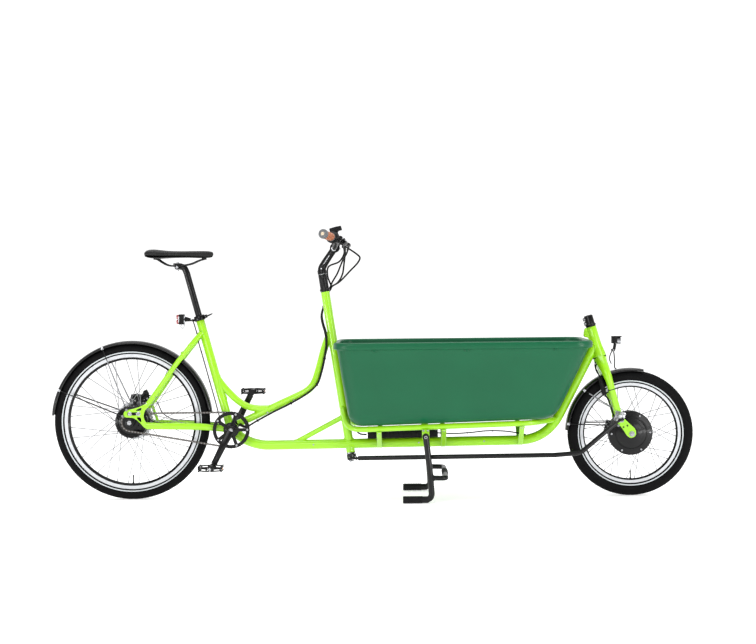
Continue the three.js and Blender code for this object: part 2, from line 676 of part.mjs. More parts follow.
// The bracket on the right fork leg that carries the upright pin of the tie rod's front end.
function steeringBracket() {
  const [x, y, z] = BALL_FRONT;
  const clampPlate = block([x + 1, -83, z + 8], [42, 7, 42], 0.27);
  const arm = bar([x, -82, z + 14], [x, y, z + 14], 8, { sides: 8 });
  const pin = bar(onAxis(BALL_FRONT, headAxis, -10), onAxis(BALL_FRONT, headAxis, 18), 5, { sides: 10 });
  return join(clampPlate, arm, pin);
}

// The arm clamped on the foot of the column, with the upright pin of the tie rod's rear end.
function columnArm() {
  const clampBase = onAxis(COLUMN.bottom, columnAxis, -17);
  const collar = turned(clampBase, columnAxis, [[10.4, 0], [20, 0], [20, 13], [10.4, 13]], 16);
  const arm = bar([clampBase[0], -17, clampBase[2] + 7], [BALL_REAR[0], BALL_REAR[1], 190], 6.5, { sides: 8 });
  const pin = bar(onAxis(BALL_REAR, columnAxis, -14), onAxis(BALL_REAR, columnAxis, 12), 5, { sides: 10 });
  return join(collar, arm, pin);
}

function rodEye(ball, axis, bore) {
  return turned(onAxis(ball, axis, -5), axis, [[bore, 0], [12.5, 0], [12.5, 10], [bore, 10]], 16);
}

function tieRod() {
  const [rearX, rearY, rearZ] = BALL_REAR;
  const [frontX, frontY, frontZ] = BALL_FRONT;
  const route = [...bentRoute([[rearX + 34, rearY - 2, rearZ + 1], [742, -176, 188], [846, -178, 196],
    [frontX - 24, frontY - 8, frontZ - 15]], 60, 4)];
  const studs = [bar([rearX + 10, rearY, rearZ], [rearX + 40, rearY - 2, rearZ + 1], 5, { sides: 8 }),
    bar([frontX - 10, frontY - 2, frontZ - 5], [frontX - 30, frontY - 10, frontZ - 19], 5, { sides: 8 })];
  return join(tube(route, ROD_RADIUS, { sides: 8 }), ...studs,
    rodEye(BALL_REAR, columnAxis, 5.4), rodEye(BALL_FRONT, headAxis, 8));
}

// The headlight, on a post that stands on the mudguard.
function headlight() {
  const body = block([1016.5, 0, 642], [41, 34, 32]);
  const bracket = join(block([1010, 0, 616], [10, 14, 24]), bar([1010, 0, 608], [1009, 0, 523], 2.5, { sides: 8 }));
  return join(body, bracket);
}

function forkCable() {
  const box = block([952, -43, 455], [18, 15, 74], -0.25);
  const lead = tube(smoothRoute([[960, -44, 428], [975, -42, 402], [986, -41, 372], [1000, -42, 330],
    [1028, -44, 284], [1048, -45, 262]], 9), 3, { sides: 6 });
  return join(box, lead, bar([958, -43, 432], [962, -44, 424], 4, { sides: 6 }));
}

add('fork', fork(), LIME);
add('fork_clamp', forkClamp(), BLACK_METAL);
add('steering_bracket', steeringBracket(), SILVER);
add('headlight', headlight(), BLACK_PLASTIC);
add('fork_cable', forkCable(), BLACK_PLASTIC);
add('column_arm', columnArm(), BLACK_METAL);
add('tie_rod', tieRod(), BLACK_METAL);

// ---------------------------------------------------------------- saddle and seatpost

const POST_TOP = onAxis(SEAT_TUBE.top, seatAxis, SEATPOST.exposed);
const SADDLE_CLAMP = [-796, 0, 968];

function seatpost() {
  const foot = onAxis(SEAT_TUBE.top, seatAxis, -SEATPOST.inserted);
  const post = tube([vec(foot), vec(onAxis(POST_TOP, seatAxis, -24)), vec(onAxis(POST_TOP, seatAxis, -8)),
    new THREE.Vector3(-772, 0, 962), new THREE.Vector3(-788, 0, 966)], SEATPOST.radius, { sides: 12 });
  const cradle = crossBar([SADDLE_CLAMP[0], 0, SADDLE_CLAMP[2] - 6], 27, 10, 12);
  const cap = block([SADDLE_CLAMP[0], 0, SADDLE_CLAMP[2] + 8], [30, 54, 7]);
  const bolt = bar([SADDLE_CLAMP[0], 0, SADDLE_CLAMP[2] - 20], [SADDLE_CLAMP[0], 0, SADDLE_CLAMP[2] + 10], 4, {
    sides: 8,
  });
  return cut(join(post, cradle, cap, bolt), railWire(3.5 + GAP));
}

function railWire(radius) {
  const half = [[-884, -30, 996], [-868, -26, 988], [-840, -22, 972], [-822, -22, 968.5], [-770, -22, 970],
    [-738, -20, 976], [-704, -13, 990], [-686, -5, 993]];
  const other = half.map(([x, y, z]) => [x, -y, z]).reverse();
  return tube([...half, ...other].map(vec), radius, { sides: 6 });
}

// Half width, underside and top of the saddle along its length.
const SADDLE_STATIONS = [
  [-930, 50, 1010, 1025], [-918, 68, 1004, 1036], [-890, 75, 1002, 1038], [-850, 70, 1002, 1033],
  [-810, 52, 1003, 1030], [-770, 34, 1003, 1029], [-730, 24, 1002, 1029], [-690, 20, 1000, 1029],
  [-660, 17, 1002, 1027], [-647, 9, 1008, 1021],
];

function saddle() {
  return loft(SADDLE_STATIONS.map(([x, half, low, high]) => {
    const middle = (low + high) / 2;
    const rise = (high - low) / 2;
    return Array.from({ length: 14 }, (_, i) => {
      const angle = 2 * Math.PI * i / 14;
      const [c, s] = [Math.cos(angle), Math.sin(angle)];
      return [x, half * Math.sign(c) * Math.abs(c) ** 0.8, middle + rise * Math.sign(s) * Math.abs(s) ** 0.7];
    });
  }));
}

function seatClamp() {
  const outer = turned(onAxis(SEAT_TUBE.top, seatAxis, -9), seatAxis, [
    [SEAT_TUBE.radius + GAP, 0], [23, 0], [23, 22], [SEATPOST.radius + 0.6, 22], [SEATPOST.radius + 0.6, 9.4],
    [SEAT_TUBE.radius + GAP, 9.4]], 20);
  const [x, , z] = onAxis(SEAT_TUBE.top, seatAxis, 2);
  return join(outer, block([x + 26, 0, z + 7], [14, 16, 15], -0.25));
}

const QR_PIVOT = [onAxis(SEAT_TUBE.top, seatAxis, 2)[0] + 28, 0, 757];

function clampLever() {
  const [x, , z] = QR_PIVOT;
  const cam = bar([x, -17, z], [x, -8.6, z], 6, { sides: 12 });
  const blade = tube([[x, -13, z], [x + 16, -16, z + 7], [x + 20, -6, z + 9], [x + 20, 26, z + 10]].map(vec), 3, {
    sides: 6, across: 5,
  });
  return join(cam, blade);
}

function rearLight() {
  const tilt = 0.02;
  const body = block([-786, 0, 746], [28, 34, 42], tilt);
  const lens = block([-801, 0, 746], [6, 30, 34], tilt);
  const arm = bar([-774, 0, 747], [-722, 0, 741], 12, { endRadius: 5, sides: 10 });
  const clampSpace = turned(onAxis(SEAT_TUBE.top, seatAxis, -9 - GAP), seatAxis, [
    [0, 0], [23 + GAP, 0], [23 + GAP, 22 + 2 * GAP], [0, 22 + 2 * GAP]], 20);
  return largest(cut(join(body, lens, arm), clampSpace));
}

add('seatpost', seatpost(), BLACK_METAL);
add('saddle', saddle(), BLACK_PLASTIC);
add('saddle_rails', railWire(3.5), SILVER);
add('seat_clamp', seatClamp(), BLACK_METAL);
add('seat_clamp_lever', clampLever(), BLACK_METAL);
add('rear_light', rearLight(), BLACK_PLASTIC);

// ---------------------------------------------------------------- drivetrain

const CRANK_DIRECTION = [-Math.sin(CRANK_LEAN), 0, -Math.cos(CRANK_LEAN)];

function sprocket() {
  return plate(toothedOutline(REAR_X, REAR_Z, SPROCKET_TEETH), CHAIN_Y - 1.5, CHAIN_Y + 1.5, [
    { centre: [REAR_X, REAR_Z], radius: 9 }]);
}

function chainring() {
  const [x, , z] = BOTTOM_BRACKET;
  return plate(toothedOutline(x, z, CHAINRING_TEETH), CHAIN_Y - 1.5, CHAIN_Y + 1.5, [
    { centre: [x, z], radius: 56, sides: 28 }]);
}

// A band that follows the two pitch circles and the straight runs between them, grown by an offset.
function chainOutline(offset) {
  const [x, , z] = BOTTOM_BRACKET;
  const rearRadius = pitchRadius(SPROCKET_TEETH) + offset;
  const frontRadius = pitchRadius(CHAINRING_TEETH) + offset;
  const span = Math.hypot(x - REAR_X, z - REAR_Z);
  const heading = Math.atan2(z - REAR_Z, x - REAR_X) * 180 / Math.PI;
  const splay = Math.asin((frontRadius - rearRadius) / span) * 180 / Math.PI;
  const turn = 90 + splay;
  const front = Array.from({ length: 17 }, (_, i) => polar(x, z, frontRadius, heading - turn + 2 * turn * i / 16));
  const rearTurn = 180 - turn;
  const rear = Array.from({ length: 11 }, (_, i) => (
    polar(REAR_X, REAR_Z, rearRadius, heading + 180 - rearTurn + 2 * rearTurn * i / 10)));
  return [...front, ...rear];
}

function chain() {
  const outer = plate(chainOutline(4.3), CHAIN_Y - 3.5, CHAIN_Y + 3.5);
  const inner = plate(chainOutline(0.9), CHAIN_Y - 5, CHAIN_Y + 5);
  return cut(outer, inner);
}

function crankArm(side, fromY, toY) {
  const [x, , z] = BOTTOM_BRACKET;
  const reach = side * CRANK_LENGTH;
  const [endX, endZ] = [x + CRANK_DIRECTION[0] * reach, z + CRANK_DIRECTION[2] * reach];
  const near = bar([x, fromY, z], [x, fromY - side * 14, z], 17, { sides: 16 });
  const far = bar([endX, toY, endZ], [endX, toY - side * 12, endZ], 13, { sides: 12 });
  const middle = tube([[x, fromY - side * 8, z], [x + CRANK_DIRECTION[0] * reach * 0.3, (fromY + toY) / 2 - side * 9,
    z + CRANK_DIRECTION[2] * reach * 0.3], [endX, toY - side * 6, endZ]].map(vec), 6, { sides: 8, across: 12 });
  return join(near, middle, far);
}

// The right crank with its five-armed spider and the guard ring outside the chain.
function crankRight() {
  const [x, , z] = BOTTOM_BRACKET;
  const arms = Array.from({ length: 5 }, (_, i) => {
    const [armX, armZ] = polar(x, z, 67, 72 * i + 1);
    return bar([x, -57.5, z], [armX, -55, armZ], 3, { sides: 6 }).add(crossPeg([armX, -54.3, armZ], 5, 2.4));
  });
  const guard = plate(arcOutline(x, z, 76, 28), -57.6, -54.6, [{ centre: [x, z], radius: 61, sides: 28 }]);
  return join(crankArm(1, -58, -74), bar([x, -40, z], [x, -60, z], 15, { sides: 16 }), guard, ...arms);
}

function crossPeg([x, y, z], radius, halfLength) {
  return bar([x, y - halfLength, z], [x, y + halfLength, z], radius, { sides: 6 });
}

function crankLeft() {
  const [x, , z] = BOTTOM_BRACKET;
  return join(crankArm(-1, 58, 74), bar([x, -39.5, z], [x, 60, z], 9, { sides: 12 }));
}

function pedalPlace(side) {
  const [x, , z] = BOTTOM_BRACKET;
  return [x + side * CRANK_DIRECTION[0] * CRANK_LENGTH, z + side * CRANK_DIRECTION[2] * CRANK_LENGTH];
}

// A pedal platform, open between its front and rear bars and its axle barrel.
function pedal(side) {
  const [x, z] = pedalPlace(side);
  const centreY = -side * 142;
  const slab = block([x, centreY, z], [102, 88, 24]);
  const slots = [-27, 27].map((shift) => block([x + shift, centreY, z], [32, 64, 40]));
  const axle = bar([x, -side * 86.4, z], [x, -side * 104, z], 6, { sides: 10 });
  return join(cut(slab, ...slots), axle);
}

add('sprocket', sprocket(), SILVER);
add('chain', chain(), SILVER);
add('chainring', chainring(), BLACK_METAL);
add('crank_right', crankRight(), BLACK_METAL);
add('crank_left', crankLeft(), BLACK_METAL);
add('pedal_right', pedal(1), BLACK_PLASTIC);
add('pedal_left', pedal(-1), BLACK_PLASTIC);

// ---------------------------------------------------------------- centre stand

// Two legs with feet that point back, joined by the step bar in front and the pivot shaft above.
function kickstand() {
  const { pivot, halfWidth, footRadius, legRadius, barX, barZ } = STAND;
  const [x, , z] = pivot;
  const leg = tube(bentRoute([[x, -halfWidth, z - 2], [240, -halfWidth, 110], [246, -halfWidth, footRadius],
    [210, -halfWidth, footRadius]], 26, 3), legRadius, { sides: 8 });
  const foot = bar([128, -halfWidth, footRadius], [236, -halfWidth, footRadius], footRadius, { sides: 12 });
  const stepArm = tube(bentRoute([[243, -halfWidth, barZ + 1], [barX, -halfWidth, barZ], [barX, 0, barZ]], 24, 3),
    10.5, { sides: 8 });
  const pivotStub = bar([x, -halfWidth - 12, z], [x, -RAIL.halfSpacing - 2, z], 8, { sides: 12 });
  const side = join(leg, foot, stepArm, pivotStub);
  return join(side, mirrored(side));
}

add('kickstand', kickstand(), BLACK_METAL);

// ---------------------------------------------------------------- rider's steering column

function columnShaft() {
  const shaft = bar(onAxis(COLUMN.bottom, columnAxis, -22), onAxis(COLUMN.top, columnAxis, 66), COLUMN.shaft, {
    sides: 16,
  });
  const foot = bar(onAxis(COLUMN.bottom, columnAxis, -34), onAxis(COLUMN.bottom, columnAxis, -21), 6, { sides: 8 });
  const spacers = turned(onAxis(COLUMN.top, columnAxis, 0.6), columnAxis, [
    [0, 0], [20, 0], [20, 9], [17, 11], [17, 56], [0, 56]], 20);
  return cut(join(shaft, foot, spacers), footRecess());
}

// Thins the foot of the shaft where the arm clamps round it.
function footRecess() {
  return turned(onAxis(COLUMN.bottom, columnAxis, -24), columnAxis, [[10, 0], [22, 0], [22, 22], [10, 22]], 16);
}

function stem() {
  const low = onAxis(COLUMN.top, columnAxis, 57);
  const riser = turned(low, columnAxis, [[COLUMN.shaft + GAP, 0], [18, 0], [18, 16], [COLUMN.shaft + GAP, 16]], 20);
  const elbow = tube([vec(onAxis(low, columnAxis, 9.6)), vec(onAxis(low, columnAxis, 22)),
    new THREE.Vector3(-198, 0, 952), new THREE.Vector3(-188, 0, 970), new THREE.Vector3(-152, 0, 1024)], 16, {
    sides: 12,
  });
  const clamp = crossBar(HANDLEBAR.centre, 23, 21, 20);
  return cut(join(riser, cut(elbow, shaftSpace()), clamp), handlebarSpace());
}

function shaftSpace() {
  return bar(COLUMN.top, onAxis(COLUMN.top, columnAxis, 66.4), COLUMN.shaft + GAP, { sides: 16 });
}

function handlebarRoute() {
  const { centre, gripStart, end } = HANDLEBAR;
  const [x, , z] = centre;
  const half = [[x, -30, z], [x + 2, -52, z + 3], [x + 8, -78, z + 16], [x + 13, -104, z + 27],
    [gripStart[0] - 0.5, -gripStart[1], gripStart[2]], [end[0], -end[1], end[2]]];
  return [...half.slice().reverse(), ...half.map(([px, py, pz]) => [px, -py, pz])].map(vec);
}

function handlebarSpace() {
  return tube(handlebarRoute(), 11.1 + GAP, { sides: 12 });
}

// A point on the straight outer part of the bar, on the right or the left, at a distance from the middle.
function gripPoint(side, distance) {
  const { gripStart, end } = HANDLEBAR;
  const share = (distance - gripStart[1]) / (end[1] - gripStart[1]);
  const [x, z] = [0, 2].map((axis) => gripStart[axis] + share * (end[axis] - gripStart[axis]));
  return [x, -side * distance, z];
}

function sleeve(side, from, to, outer, sides = 14) {
  const [start, finish] = [gripPoint(side, from), gripPoint(side, to)];
  const axis = vec(finish).sub(vec(start));
  return turned(start, axis.toArray(), [[11.6, 0], [outer, 0], [outer, axis.length()], [11.6, axis.length()]], sides);
}

function gripCap(side) {
  const start = gripPoint(side, 310.5);
  const axis = vec(start).sub(vec(gripPoint(side, 300))).toArray();
  return turned(start, axis, [[0, 0], [18, 0], [18, 4], [12, 6], [0, 6]], 14);
}

function grip(side, from) {
  return join(sleeve(side, from, 311, 16.5), gripCap(side));
}

// The lever's clamp on the bar, with the ears that hold the lever's pivot in front of it.
function brakeBracket(side) {
  const [x, y, z] = gripPoint(side, 169);
  const ears = [-1, 1].map((half) => block([x + 26, y - side * 2, z - 10 + half * 8.4], [24, 18, 4], 0.35));
  const body = block([x + 14, y, z - 7], [12, 16, 24], 0.35);
  const [px, py, pz] = leverPivot(side);
  const room = bar([px, py, pz - 6.2], [px, py, pz + 6.2], 9.5, { sides: 12 });
  return cut(join(sleeve(side, 160, 178, 16), body, ...ears), handlebarSpace(), room);
}

function leverPivot(side) {
  const [x, y, z] = gripPoint(side, 169);
  return [x + 30, y - side * 2, z - 12];
}

function brakeLever(side) {
  const [x, y, z] = leverPivot(side);
  const blade = tube([[x, y, z], [x + 13, y - side * 14, z - 4], [x + 16, y - side * 34, z - 9],
    [x + 8, y - side * 62, z - 16], [x + 2, y - side * 84, z - 24]].map(vec), 4, { sides: 8, across: 7 });
  return cut(join(blade, bar([x, y, z - 5], [x, y, z + 5], 7, { sides: 10 })), leverSpace(side));
}

// Keeps the lever's root between the bracket's ears.
function leverSpace(side) {
  const [x, y, z] = gripPoint(side, 169);
  return join(...[-1, 1].map((half) => block([x + 26, y - side * 2, z - 10 + half * 8.9], [26, 22, 5.6], 0.35)));
}

// The display's case on a short neck, clamped to the bar on the rider's left.
function display() {
  const foot = turned([-129.4, 123, 1065.1], [1.5, 46, 5], [[11.6, 0], [15, 0], [15, 9], [11.6, 9]], 14);
  const casing = block([-148, 110, 1116], [42, 62, 22], -0.25);
  const neck = bar([-131, 127, 1078], [-145, 118, 1110], 6, { sides: 8 });
  return cut(join(foot, neck, casing), handlebarSpace());
}

// Control cables and hoses from the levers, gathered into one bundle beside the column's head.
function handlebarCables() {
  const tail = [[-172, 31, 868], [-166, 32, 890]];
  const right = tube(smoothRoute([...tail, [-144, 8, 925], [-118, -50, 965], [-98, -105, 1012], [-98, -140, 1042],
    [-112, -150, 1052]], 9), 3, { sides: 5 });
  const left = tube(smoothRoute([...tail, [-136, 30, 950], [-96, 60, 996], [-84, 104, 1026], [-96, 140, 1044],
    [-110, 150, 1052]], 10), 3, { sides: 5 });
  const shift = tube(smoothRoute([...tail, [-140, -10, 915], [-84, -90, 965], [-58, -150, 1004], [-80, -190, 1024],
    [-116, -200, 1042]], 10), 3, { sides: 5 });
  const tie = bar([-172, 31, 867], [-167, 32, 886], 6.5, { sides: 10 });
  return join(right, left, shift, tie);
}

add('column_shaft', columnShaft(), BLACK_METAL);
add('stem', stem(), BLACK_METAL);
add('handlebar', tube(handlebarRoute(), 11.1, { sides: 12 }), BLACK_METAL);
add('grip_right', grip(1, 214), TAN);
add('grip_left', grip(-1, 190), TAN);
add('shifter_ring', cut(sleeve(1, 184, 213, 24), handlebarSpace()), BLACK_PLASTIC);
for (const [name, side] of [['right', 1], ['left', -1]]) {
  add(`brake_bracket_${name}`, brakeBracket(side), BLACK_METAL);
  add(`brake_lever_${name}`, brakeLever(side), BLACK_METAL);
}
add('display', display(), BLACK_PLASTIC);
add('handlebar_cables', handlebarCables(), BLACK_PLASTIC);

// ---------------------------------------------------------------- controller and frame cable

add('control_box', block([130, 0, 264], [296, 100, 30], -0.016), BLACK_PLASTIC);

add('frame_cable', tube(smoothRoute([[-172, 31, 862], [-180, 29, 825], [-194, 21, 790], [-201, 4, 757], [-195, -14, 722],
  [-184, -25, 685], [-181, -26, 640], [-190, -25, 580], [-204, -24, 520], [-222, -23, 472], [-262, -22, 436], [-330, -22, 396],
  [-400, -22, 362], [-470, -22, 325], [-520, -24, 300], [-548, -26, 312]], 26), 4.5, { sides: 6 }), BLACK_PLASTIC);

export default model;
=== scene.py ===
"""Looks of the cargo bicycle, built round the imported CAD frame.

Lengths are written in millimetres and turned into metres where a mesh is made. X is forward, Y is to
the rider's left and Z is up, as in the CAD model.
"""

import json
import math

import bmesh
import bpy
from mathutils import Matrix, Vector

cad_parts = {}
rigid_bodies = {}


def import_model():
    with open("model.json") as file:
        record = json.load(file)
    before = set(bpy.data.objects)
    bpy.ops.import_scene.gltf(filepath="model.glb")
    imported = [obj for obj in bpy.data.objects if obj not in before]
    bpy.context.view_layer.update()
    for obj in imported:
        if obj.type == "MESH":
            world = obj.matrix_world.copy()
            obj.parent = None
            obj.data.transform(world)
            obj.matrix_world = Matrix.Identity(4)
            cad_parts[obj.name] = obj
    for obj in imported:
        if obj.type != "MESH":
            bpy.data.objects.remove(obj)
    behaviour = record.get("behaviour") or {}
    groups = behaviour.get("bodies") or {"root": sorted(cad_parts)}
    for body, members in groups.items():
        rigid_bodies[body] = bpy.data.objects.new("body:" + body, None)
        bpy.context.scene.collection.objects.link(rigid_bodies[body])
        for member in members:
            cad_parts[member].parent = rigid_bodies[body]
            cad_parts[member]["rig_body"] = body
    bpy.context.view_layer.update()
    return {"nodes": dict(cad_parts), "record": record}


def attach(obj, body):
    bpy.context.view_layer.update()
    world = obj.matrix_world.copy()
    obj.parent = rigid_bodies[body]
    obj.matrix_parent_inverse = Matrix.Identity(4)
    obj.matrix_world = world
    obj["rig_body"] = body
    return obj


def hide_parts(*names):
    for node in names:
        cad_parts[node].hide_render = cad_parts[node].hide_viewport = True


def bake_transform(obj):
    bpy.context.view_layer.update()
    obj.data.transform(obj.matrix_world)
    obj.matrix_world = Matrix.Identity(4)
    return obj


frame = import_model()
MM = 0.001


def vec(x, y, z):
    return Vector((x, y, z))



# ---------------------------------------------------------------- shared dimensions, from the CAD model

REAR_AXLE = vec(-993.5, 0, 324)
FRONT_AXLE = vec(1070.5, 0, 259)
BRACKET = vec(-577, 0, 289)
SEAT_FOOT, SEAT_TOP = vec(-587, 0, 300), vec(-708, 0, 749)
SEAT_DIR = (SEAT_TOP - SEAT_FOOT).normalized()
COLUMN_TOP, COLUMN_FOOT = vec(-186, 0, 858), vec(-85.6, 0, 184)
COLUMN_DIR = (COLUMN_TOP - COLUMN_FOOT).normalized()
HEAD_TOP, HEAD_FOOT = vec(912, 0, 702), vec(948, 0, 572)
HEAD_DIR = (HEAD_TOP - HEAD_FOOT).normalized()
CRANK_LEAN = math.radians(27)
CRANK_DIR = vec(-math.sin(CRANK_LEAN), 0, -math.cos(CRANK_LEAN))
CHAIN_Y = -50
PITCH = 12.7
REAR_RADIUS, FRONT_RADIUS = 324, 259
RING_TEETH, SPROCKET_TEETH = 36, 18
CRANK_LENGTH, PEDAL_Y = 165, 142
SPIDER_RADIUS, SPIDER_ARMS, SPIDER_TURN = 67, 5, 1

# ---------------------------------------------------------------- mesh building


class Build:
    """Vertices and faces of one piece, in millimetres, with a material number for each face."""

    def __init__(self):
        self.points = []
        self.faces = []
        self.slots = []

    def add(self, points, faces, slot=0):
        base = len(self.points)
        self.points.extend(Vector(p) for p in points)
        self.faces.extend([tuple(base + i for i in face) for face in faces])
        self.slots.extend([slot] * len(faces))
        return self

    def mirrored(self):
        """Adds a copy of everything so far, on the other side of the XZ plane."""
        count, faces, slots = len(self.points), list(self.faces), list(self.slots)
        self.points.extend([vec(p.x, -p.y, p.z) for p in self.points])
        self.faces.extend([tuple(count + i for i in reversed(face)) for face in faces])
        self.slots.extend(slots)
        return self


def piece(name, build, materials, body, replaces=None, bevel=0, segments=2, smooth=0, angle=38):
    """Makes a Blender object from a Build, with bevelled or subdivided edges, riding on a CAD body."""
    materials = materials if isinstance(materials, list) else [materials]
    mesh = bpy.data.meshes.new(name)
    mesh.from_pydata([p * MM for p in build.points], [], build.faces)
    for material in materials:
        mesh.materials.append(material)
    mesh.polygons.foreach_set("material_index", build.slots)
    obj = bpy.data.objects.new(name, mesh)
    bpy.context.scene.collection.objects.link(obj)
    if bevel:
        modifier = obj.modifiers.new("bevel", "BEVEL")
        modifier.width = bevel * MM
        modifier.segments = segments
        modifier.limit_method = "ANGLE"
        modifier.angle_limit = math.radians(angle)
        modifier.harden_normals = False
    if smooth:
        modifier = obj.modifiers.new("subdivision", "SUBSURF")
        modifier.levels = modifier.render_levels = smooth
    if bevel or smooth:
        bpy.context.view_layer.update()
        made = obj.evaluated_get(bpy.context.evaluated_depsgraph_get())
        final = bpy.data.meshes.new_from_object(made)
        obj.modifiers.clear()
        obj.data = final
        bpy.data.meshes.remove(mesh)
        final.name = name
    soften(obj.data, 180 if smooth else angle)
    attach(obj, body)
    if replaces:
        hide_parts(replaces)
    return obj


def soften(mesh, angle):
    """Shades a mesh smooth, except over edges that bend more than the angle, with its faces outward."""
    work = bmesh.new()
    work.from_mesh(mesh)
    bmesh.ops.remove_doubles(work, verts=work.verts, dist=2e-6)
    bmesh.ops.recalc_face_normals(work, faces=work.faces)
    limit = math.radians(angle)
    for face in work.faces:
        face.smooth = True
    for edge in work.edges:
        if len(edge.link_faces) == 2 and edge.calc_face_angle(0) > limit:
            edge.smooth = False
    work.to_mesh(mesh)
    work.free()


def curve_through(points, per=6):
    """Points along a smooth centripetal curve through the given ones."""
    pts = [Vector(p) for p in points]
    pts = [2 * pts[0] - pts[1]] + pts + [2 * pts[-1] - pts[-2]]
    out = []
    for i in range(1, len(pts) - 2):
        p0, p1, p2, p3 = pts[i - 1 : i + 3]
        t0 = 0.0
        t1 = t0 + max((p1 - p0).length, 1e-6) ** 0.5
        t2 = t1 + max((p2 - p1).length, 1e-6) ** 0.5
        t3 = t2 + max((p3 - p2).length, 1e-6) ** 0.5
        for k in range(per):
            t = t1 + (t2 - t1) * k / per
            a1 = p0 * ((t1 - t) / (t1 - t0)) + p1 * ((t - t0) / (t1 - t0))
            a2 = p1 * ((t2 - t) / (t2 - t1)) + p2 * ((t - t1) / (t2 - t1))
            a3 = p2 * ((t3 - t) / (t3 - t2)) + p3 * ((t - t2) / (t3 - t2))
            b1 = a1 * ((t2 - t) / (t2 - t0)) + a2 * ((t - t0) / (t2 - t0))
            b2 = a2 * ((t3 - t) / (t3 - t1)) + a3 * ((t - t1) / (t3 - t1))
            out.append(b1 * ((t2 - t) / (t2 - t1)) + b2 * ((t - t1) / (t2 - t1)))
    out.append(pts[-2])
    return out


def bent(points, radius, per=8):
    """Straight runs with an arc-like bend at each inner point."""
    pts = [Vector(p) for p in points]
    out = [pts[0]]
    for i in range(1, len(pts) - 1):
        back = (pts[i - 1] - pts[i]).normalized()
        ahead = (pts[i + 1] - pts[i]).normalized()
        reach = radius * math.tan((math.pi - back.angle(ahead)) / 2)
        start, end = pts[i] + back * reach, pts[i] + ahead * reach
        for k in range(per + 1):
            t = k / per
            out.append(start * (1 - t) ** 2 + pts[i] * 2 * t * (1 - t) + end * t * t)
    out.append(pts[-1])
    return out


def frames(path, up=None):
    """A tangent and two side directions at each point, turned as little as possible along the path."""
    tangents = []
    for i, _ in enumerate(path):
        before = path[i] - path[i - 1] if i else path[1] - path[0]
        after = path[i + 1] - path[i] if i + 1 < len(path) else path[-1] - path[-2]
        tangents.append((before.normalized() + after.normalized()).normalized())
    side = Vector(up) if up else (vec(0, 1, 0) if abs(tangents[0].y) < 0.9 else vec(0, 0, 1))
    side = (side - tangents[0] * side.dot(tangents[0])).normalized()
    result = []
    for i, tangent in enumerate(tangents):
        if i:
            side = tangents[i - 1].rotation_difference(tangent) @ side
            side = (side - tangent * side.dot(tangent)).normalized()
        result.append((tangent, side, tangent.cross(side)))
    return result


def skin(build, rings, caps=True, slot=0):
    """Joins rings of points, one after the other, and closes the first and the last."""
    count, last = len(rings[0]), len(rings) - 1
    faces = [(r * count + i, r * count + (i + 1) % count, (r + 1) * count + (i + 1) % count,
              (r + 1) * count + i) for r in range(last) for i in range(count)]
    if caps:
        faces += [tuple(reversed(range(count))), tuple(range(last * count, (last + 1) * count))]
    return build.add([point for ring in rings for point in ring], faces, slot)


def sweep(build, path, radius, sides=20, slot=0, across=None, round_ends=0.0, section=None, up=None):
    """A tube along a path. The radius may vary along it; the section may be an oval or any outline."""
    path = [Vector(p) for p in path]
    count = len(path)
    radii = list(radius) if hasattr(radius, "__len__") else [radius] * count
    outline = section or [
        (math.cos(2 * math.pi * i / sides), (across or 1.0) * math.sin(2 * math.pi * i / sides))
        for i in range(sides)
    ]
    sides = len(outline)
    places = frames(path, up)
    rings = []
    if round_ends:
        for k in range(3):
            turn = math.pi / 2 * k / 3
            tangent, u, v = places[0]
            rings.append((path[0] - tangent * round_ends * (math.cos(turn) - 1) - tangent * round_ends,
                          radii[0] - round_ends * (1 - math.sin(turn)), u, v))
    for point, r, (_, u, v) in zip(path, radii, places):
        rings.append((point, r, u, v))
    if round_ends:
        for k in (2, 1, 0):
            turn = math.pi / 2 * k / 3
            tangent, u, v = places[-1]
            rings.append((path[-1] + tangent * round_ends * math.cos(turn),
                          radii[-1] - round_ends * (1 - math.sin(turn)), u, v))
    rows = [[centre + u * (a * r) + v * (b * r) for a, b in outline] for centre, r, u, v in rings]
    return skin(build, rows, slot=slot)


def rod(build, start, end, radius, sides=16, slot=0, round_ends=0.0):
    return sweep(build, [start, end], radius, sides, slot, round_ends=round_ends)


def lathe(build, origin, direction, profile, segments=48, slot=0, slots=None):
    """A body of revolution from [radius, height] points: a ring, or solid if an end is on the axis."""
    origin, axis = Vector(origin), Vector(direction).normalized()
    u = axis.orthogonal().normalized()
    v = axis.cross(u)
    rows = len(profile)
    points = []
    for k in range(segments):
        turn = 2 * math.pi * k / segments
        out = u * math.cos(turn) + v * math.sin(turn)
        points.extend(origin + out * max(r, 1e-4) + axis * h for r, h in profile)
    ring = profile[0][0] > 0 and profile[-1][0] > 0
    for span in range(rows if ring else rows - 1):
        faces = []
        for k in range(segments):
            a, b = k * rows, ((k + 1) % segments) * rows
            after = (span + 1) % rows
            faces.append((a + span, a + after, b + after, b + span))
        if span == 0:
            build.add(points, faces, slots[span] if slots else slot)
            base = len(build.points) - len(points)
        else:
            build.faces.extend([tuple(base + i for i in face) for face in faces])
            build.slots.extend([slots[span] if slots else slot] * len(faces))
    return build


def box(build, centre, size, turn=None):
    """A box to be bevelled, turned by a matrix about its centre."""
    turn = turn or Matrix.Identity(3)
    corners = [turn @ vec(x * size[0] / 2, y * size[1] / 2, z * size[2] / 2) + Vector(centre)
               for x in (-1, 1) for y in (-1, 1) for z in (-1, 1)]
    faces = [(0, 1, 3, 2), (4, 6, 7, 5), (0, 4, 5, 1), (2, 3, 7, 6), (0, 2, 6, 4), (1, 5, 7, 3)]
    return build.add(corners, faces)


def tilt(angle):
    return Matrix.Rotation(angle, 3, "Y")


